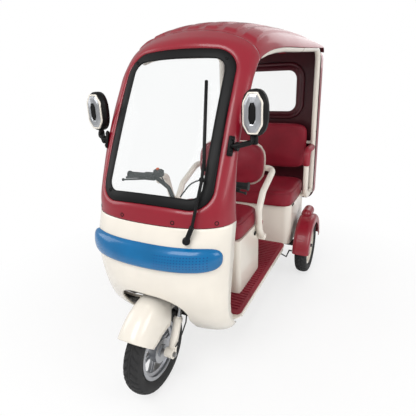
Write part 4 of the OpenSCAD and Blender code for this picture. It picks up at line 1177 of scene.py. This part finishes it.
def mirror_front(side):
    """Middle of a mirror head's front, and the way it faces."""
    pane = np.array([v.co for v in NODES["mirror_glasses"].data.vertices if v.co.y * side > 0])
    centre = (pane.min(axis=0) + pane.max(axis=0)) / 2
    n = np.linalg.svd(pane - pane.mean(axis=0))[2][2]
    n = unit((n[0], n[1], 0)) * (1 if n[0] > 0 else -1)
    head = np.array([v.co for v in NODES["mirror_housings"].data.vertices])
    near = head[np.linalg.norm(head - centre, axis=1) < 0.1]
    return centre + n * (float(((near - centre) @ n).max()) - 0.003), n


def mirror_bezels():
    for name, (material, outline) in BEZELS.items():
        parts = Parts()
        for side in (-1, 1):
            mid, n = mirror_front(side)
            u = np.array([-n[1], n[0], 0])
            rings = []
            for w, h, out in outline:
                points = [eight_sided(k, w, h) for k in range(BEZEL_STEPS)]
                rings.append([mid + u * a + np.array([0, 0, b]) + n * out for a, b in points])
            parts.rings(rings)
        parts.piece(name, material, smooth=material != "silver")


def mirror_plates():
    plates = Parts()
    for side in (-1, 1):
        out = unit((0.5, side * 0.866, 0.12))
        pillar = np.array([-0.36, 0, 1])
        up = unit(pillar - out * float(out @ pillar))
        place = np.array([FA - 0.204, side * 0.322, 1.161])
        plates.block(place, (0.027, 0.082, 0.013), np.array([np.cross(up, out), up, out]).T, 0.5)
        for k in (-1, 1):
            plates.revolve(place + up * 0.028 * k + out * 0.006, out,
                           [(0, -0.002), (0.0075, -0.002), (0.0075, 0.002), (0.005, 0.004), (0, 0.004)], 18)
        knee = np.array([FA - 0.262, side * 0.405, 1.176])
        plates.tube([place + out * 0.008, place + out * 0.022, knee], 0.0085, 14)
        plates.revolve(knee, (0, 0, 1), [(0, -0.014), (0.0125, -0.014), (0.0135, -0.010), (0.0135, 0.013),
                                         (0.0115, 0.018), (0.0115, 0.034), (0, 0.034)], 20)
    plates.piece("mirror_plates", "black")


def wiper_parts():
    arm = from_front([(2, 209, 806), (-14, 230, 866), (-92, 242, 1041), (-118, 238, 1100)])
    blade = from_front([(-122, 238, 1071), (-156, 225, 1150), (-212, 206, 1266), (-296, 176, 1414)])
    parts = Parts().tube(rounded(arm, 0.05, 6), 0.0068, 12).tube(rounded(blade, 0.3, 6), 0.0075, 12)
    parts.tube(arm[:2], 0.0105, 14)
    parts.revolve(arm[0], (1, 0.5, 0.1), [(0, -0.008), (0.0165, -0.008), (0.0165, 0.004), (0.012, 0.009),
                                          (0, 0.009)], 20)
    parts.disc(arm[2], (1, 0.3, 0.4), 0.011, -0.006, 0.006)
    parts.piece("wiper_arm_blade", "black", replaces=("wiper",))


def controls():
    """Switch housings, levers and control cables on the handlebar, and the orange button."""
    dark = Parts()
    for side in (-1, 1):
        lever_end = (FA - 0.312, side * 0.345, 0.930)
        lever = [(FA - 0.352, side * 0.165, 0.958), (FA - 0.318, side * 0.205, 0.945), lever_end]
        cable = [(FA - 0.350, side * 0.128, 0.968), (FA - 0.290, side * 0.080, 0.960),
                 (FA - 0.285, side * 0.020, 0.885)]
        dark.block((FA - 0.362, side * 0.150, 0.970), (0.036, 0.052, 0.040), None, 0.4)
        dark.tube(rounded(lever, 0.03, 6), 0.0048, 12)
        dark.revolve(lever_end, (0, side, -0.1),
                     [(0, -0.004), (0.0075, -0.003), (0.0075, 0.004), (0, 0.006)], 14)
        dark.tube(rounded(cable, 0.06, 8), 0.0038, 10)
    dark.piece("lever_parts", "rubber", "steering")
    button = [(0, 0), (0.0085, 0), (0.0085, 0.007), (0.006, 0.0095), (0, 0.010)]
    parts = Parts().revolve((FA - 0.356, -0.150, 0.989), (0.2, 0, 1), button, 20)
    parts.piece("switch_button", "orange", "steering")


# Rear window frame: raised bands round the opening on the panel's inner side
# Columns: outside the window's edge by, proud of the pane by
WINDOW_BANDS = [(-0.014, -0.004), (-0.014, 0.010), (-0.006, 0.0125), (0.016, 0.0115), (0.020, 0.005),
                (0.026, 0.004), (0.031, 0.0095), (0.040, 0.0095), (0.046, 0.001), (0.047, -0.004)]
WINDOW_R = 0.078
QUADRANTS = ((1, -1, -90), (1, 1, 0), (-1, 1, 90), (-1, -1, 180))


def window_frame():
    lo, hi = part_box("rear_window")
    mid_z = (lo.z + hi.z) / 2
    half_y, half_z = (hi.y - lo.y) / 2, (hi.z - lo.z) / 2
    rows = []
    for grow, out in WINDOW_BANDS:
        r = WINDOW_R + grow
        ring = []
        for sy, sz, start in QUADRANTS:
            for a in [math.radians(start + 90 * k / 8) for k in range(9)]:
                y = sy * (half_y + grow - r) + r * math.cos(a)
                ring.append((hi.x + out, y, mid_z + sz * (half_z + grow - r) + r * math.sin(a)))
        rows.append(ring)
    parts = Parts().rings(rows, wrap_rows=True)
    for sy in (-1, 1):
        for sz in (-1, 1):
            place = (hi.x + 0.012, sy * (half_y - 0.012), mid_z + sz * (half_z - 0.012))
            screw(parts, place, (1, 0, 0), 0.009)
    # The frame is coloured with the painted shade maroon of the cabin's inside
    parts.piece("window_frame", "inner_shade")


def box_fittings():
    """Slot on each of the bench box's sides, and bolts where the canopy's posts meet the backrest."""
    lo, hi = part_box("bench_box")
    dark = Parts()
    for side, face in ((-1, lo.y), (1, hi.y)):
        dark.block((RA + 0.120, face, 0.555), (0.046, 0.006, 0.012), None, 0.5)
        dark.revolve((POST_X, side * 0.3985, 1.015), (0, side, 0),
                     [(0, -0.004), (0.0062, -0.004), (0.0062, 0.001), (0, 0.003)], 14)
    dark.piece("box_fittings", "black")


# Camera as solved from the photograph, in the photograph's 416 by 416 frame
PHOTO_SIZE = 416
CAM_AHEAD, CAM_LEFT, CAM_HIGH = 1.12314, 0.88131, 1.42237
CAM_YAW, CAM_PITCH, CAM_ROLL = 3.60550, 0.324273, -0.034485
CAM_FOCAL_PX = 356.244
CAM_CENTRE_PX = (209.501, 198.592)
SENSOR_MM = 36


def photo_camera():
    cos_pitch = math.cos(CAM_PITCH)
    ahead = np.array([cos_pitch * math.cos(CAM_YAW), cos_pitch * math.sin(CAM_YAW), -math.sin(CAM_PITCH)])
    level = np.array([math.sin(CAM_YAW), -math.cos(CAM_YAW), 0])
    above = np.cross(level, ahead)
    right = level * math.cos(CAM_ROLL) + above * math.sin(CAM_ROLL)
    up = -level * math.sin(CAM_ROLL) + above * math.cos(CAM_ROLL)
    data = bpy.data.cameras.new("photo_camera")
    camera = bpy.data.objects.new("photo_camera", data)
    bpy.context.scene.collection.objects.link(camera)
    matrix = np.eye(4)
    matrix[:3, :3] = np.array([right, up, -ahead]).T
    matrix[:3, 3] = (FA + CAM_AHEAD, CAM_LEFT, CAM_HIGH)
    camera.matrix_world = Matrix([list(map(float, row)) for row in matrix])
    data.sensor_fit = "HORIZONTAL"
    data.sensor_width = SENSOR_MM
    data.lens = CAM_FOCAL_PX * SENSOR_MM / PHOTO_SIZE
    data.shift_x = (PHOTO_SIZE / 2 - CAM_CENTRE_PX[0]) / PHOTO_SIZE
    data.shift_y = (CAM_CENTRE_PX[1] - PHOTO_SIZE / 2) / PHOTO_SIZE
    data.clip_start = 0.05
    data.clip_end = 60
    bpy.context.scene.camera = camera


def area_light(name, place, target, size, power):
    data = bpy.data.lights.new(name, "AREA")
    data.shape = "RECTANGLE"
    data.size = data.size_y = size
    data.energy = power
    light = bpy.data.objects.new(name, data)
    bpy.context.scene.collection.objects.link(light)
    light.location = place
    light.rotation_euler = (Vector(target) - Vector(place)).to_track_quat("-Z", "Y").to_euler()


def seen_directly(nodes, links):
    """1 for the camera's rays and for rays that came through glass, else 0."""
    path = nodes.new("ShaderNodeLightPath").outputs
    return math_node(nodes, links, "MAXIMUM", path["Is Camera Ray"], path["Is Transmission Ray"])


def mix_shaders(nodes, links, share, first, second, target):
    mix = nodes.new("ShaderNodeMixShader")
    for socket, output in zip(mix.inputs, (share, first, second)):
        links.new(output, socket)
    links.new(mix.outputs[0], target)


LIGHTS = {
    "key": ((3.2, 0.2, 3.6), (0, 0, 0.8), 2.2, 88),
    "left_fill": ((0.8, 3.6, 2.2), (0, 0, 0.7), 2.0, 44),
    "right_fill": ((1.4, -3.4, 2.4), (0, 0, 0.8), 2.0, 30),
    "rear_fill": ((-3.6, 0.6, 2.6), (0, 0, 0.8), 2.4, 26),
}
WORLD_STRENGTH = 0.5


def studio():
    scene = bpy.context.scene
    scene.view_settings.view_transform = "Standard"
    world = bpy.data.worlds.new("studio")
    scene.world = world
    world.use_nodes = True
    nodes, links = world.node_tree.nodes, world.node_tree.links
    background = nodes["Background"]
    bright = nodes.new("ShaderNodeBackground")
    for node, strength in ((background, WORLD_STRENGTH), (bright, 1.0)):
        put(node, {"Color": (1, 1, 1, 1), "Strength": strength})
    mix_shaders(nodes, links, seen_directly(nodes, links), background.outputs[0], bright.outputs[0],
                nodes["World Output"].inputs["Surface"])
    for name, light in LIGHTS.items():
        area_light(name, *light)
    floor = make_floor()


FLOOR_HALF = 30
FLOOR_SHADE = 0.93
FLOOR_DRIFT = 0.02
# The floor's share of plain white grows from 0.7 to 1 between these distances from the part's middle
WHITE_FROM, WHITE_TO, WHITE_LEAST = 0.9, 1.9, 0.7


def make_floor():
    mesh = bpy.data.meshes.new("floor")
    corners = [(x * FLOOR_HALF, y * FLOOR_HALF, 0) for x, y in ((-1, -1), (1, -1), (1, 1), (-1, 1))]
    mesh.from_pydata(corners, [], [(0, 1, 2, 3)])
    mat, nodes, links = new_material("pale_floor")
    shader = shader_of(nodes)
    slow = noise(nodes, links, 1.5, 2.0)
    drift(nodes, links, shader, slow, (FLOOR_SHADE,) * 3, (FLOOR_SHADE + FLOOR_DRIFT,) * 3)
    put(shader, {"Roughness": 0.8, "Specular IOR Level": 0.1})
    place = nodes.new("ShaderNodeNewGeometry").outputs["Position"]
    far = vector_node(nodes, links, "DISTANCE", place, (FA - 0.75, 0, 0))
    share = spread(nodes, links, far, WHITE_LEAST, 1.0, WHITE_FROM, WHITE_TO)
    weight = math_node(nodes, links, "MULTIPLY", seen_directly(nodes, links), share)
    glow = nodes.new("ShaderNodeEmission")
    mix_shaders(nodes, links, weight, shader.outputs[0], glow.outputs[0],
                nodes["Material Output"].inputs["Surface"])
    mesh.materials.append(mat)
    floor = bpy.data.objects.new("floor", mesh)
    bpy.context.scene.collection.objects.link(floor)
    return floor


photo_camera()
studio()
finish_kept_nodes()
surround_shell()
screen_border()
screen_glass()
roof_shell()
nose_shell()
lamp_lens()
front_guard()
tyre("front_tyre_tread", FRONT_AXLE, "front_wheel", "front_tyre")
tyre("rear_tyre_tread_left", REAR_AXLE, "rear_wheel_left", "rear_tyre_left")
tyre("rear_tyre_tread_right", middle("rear_tyre_right"), "rear_wheel_right", "rear_tyre_right")
driver_stay_tubes()
canopy_tubes()
armrest_sleeves()
seats()
shell_screws()
mirror_bezels()
mirror_plates()
wiper_parts()
controls()
window_frame()
box_fittings()
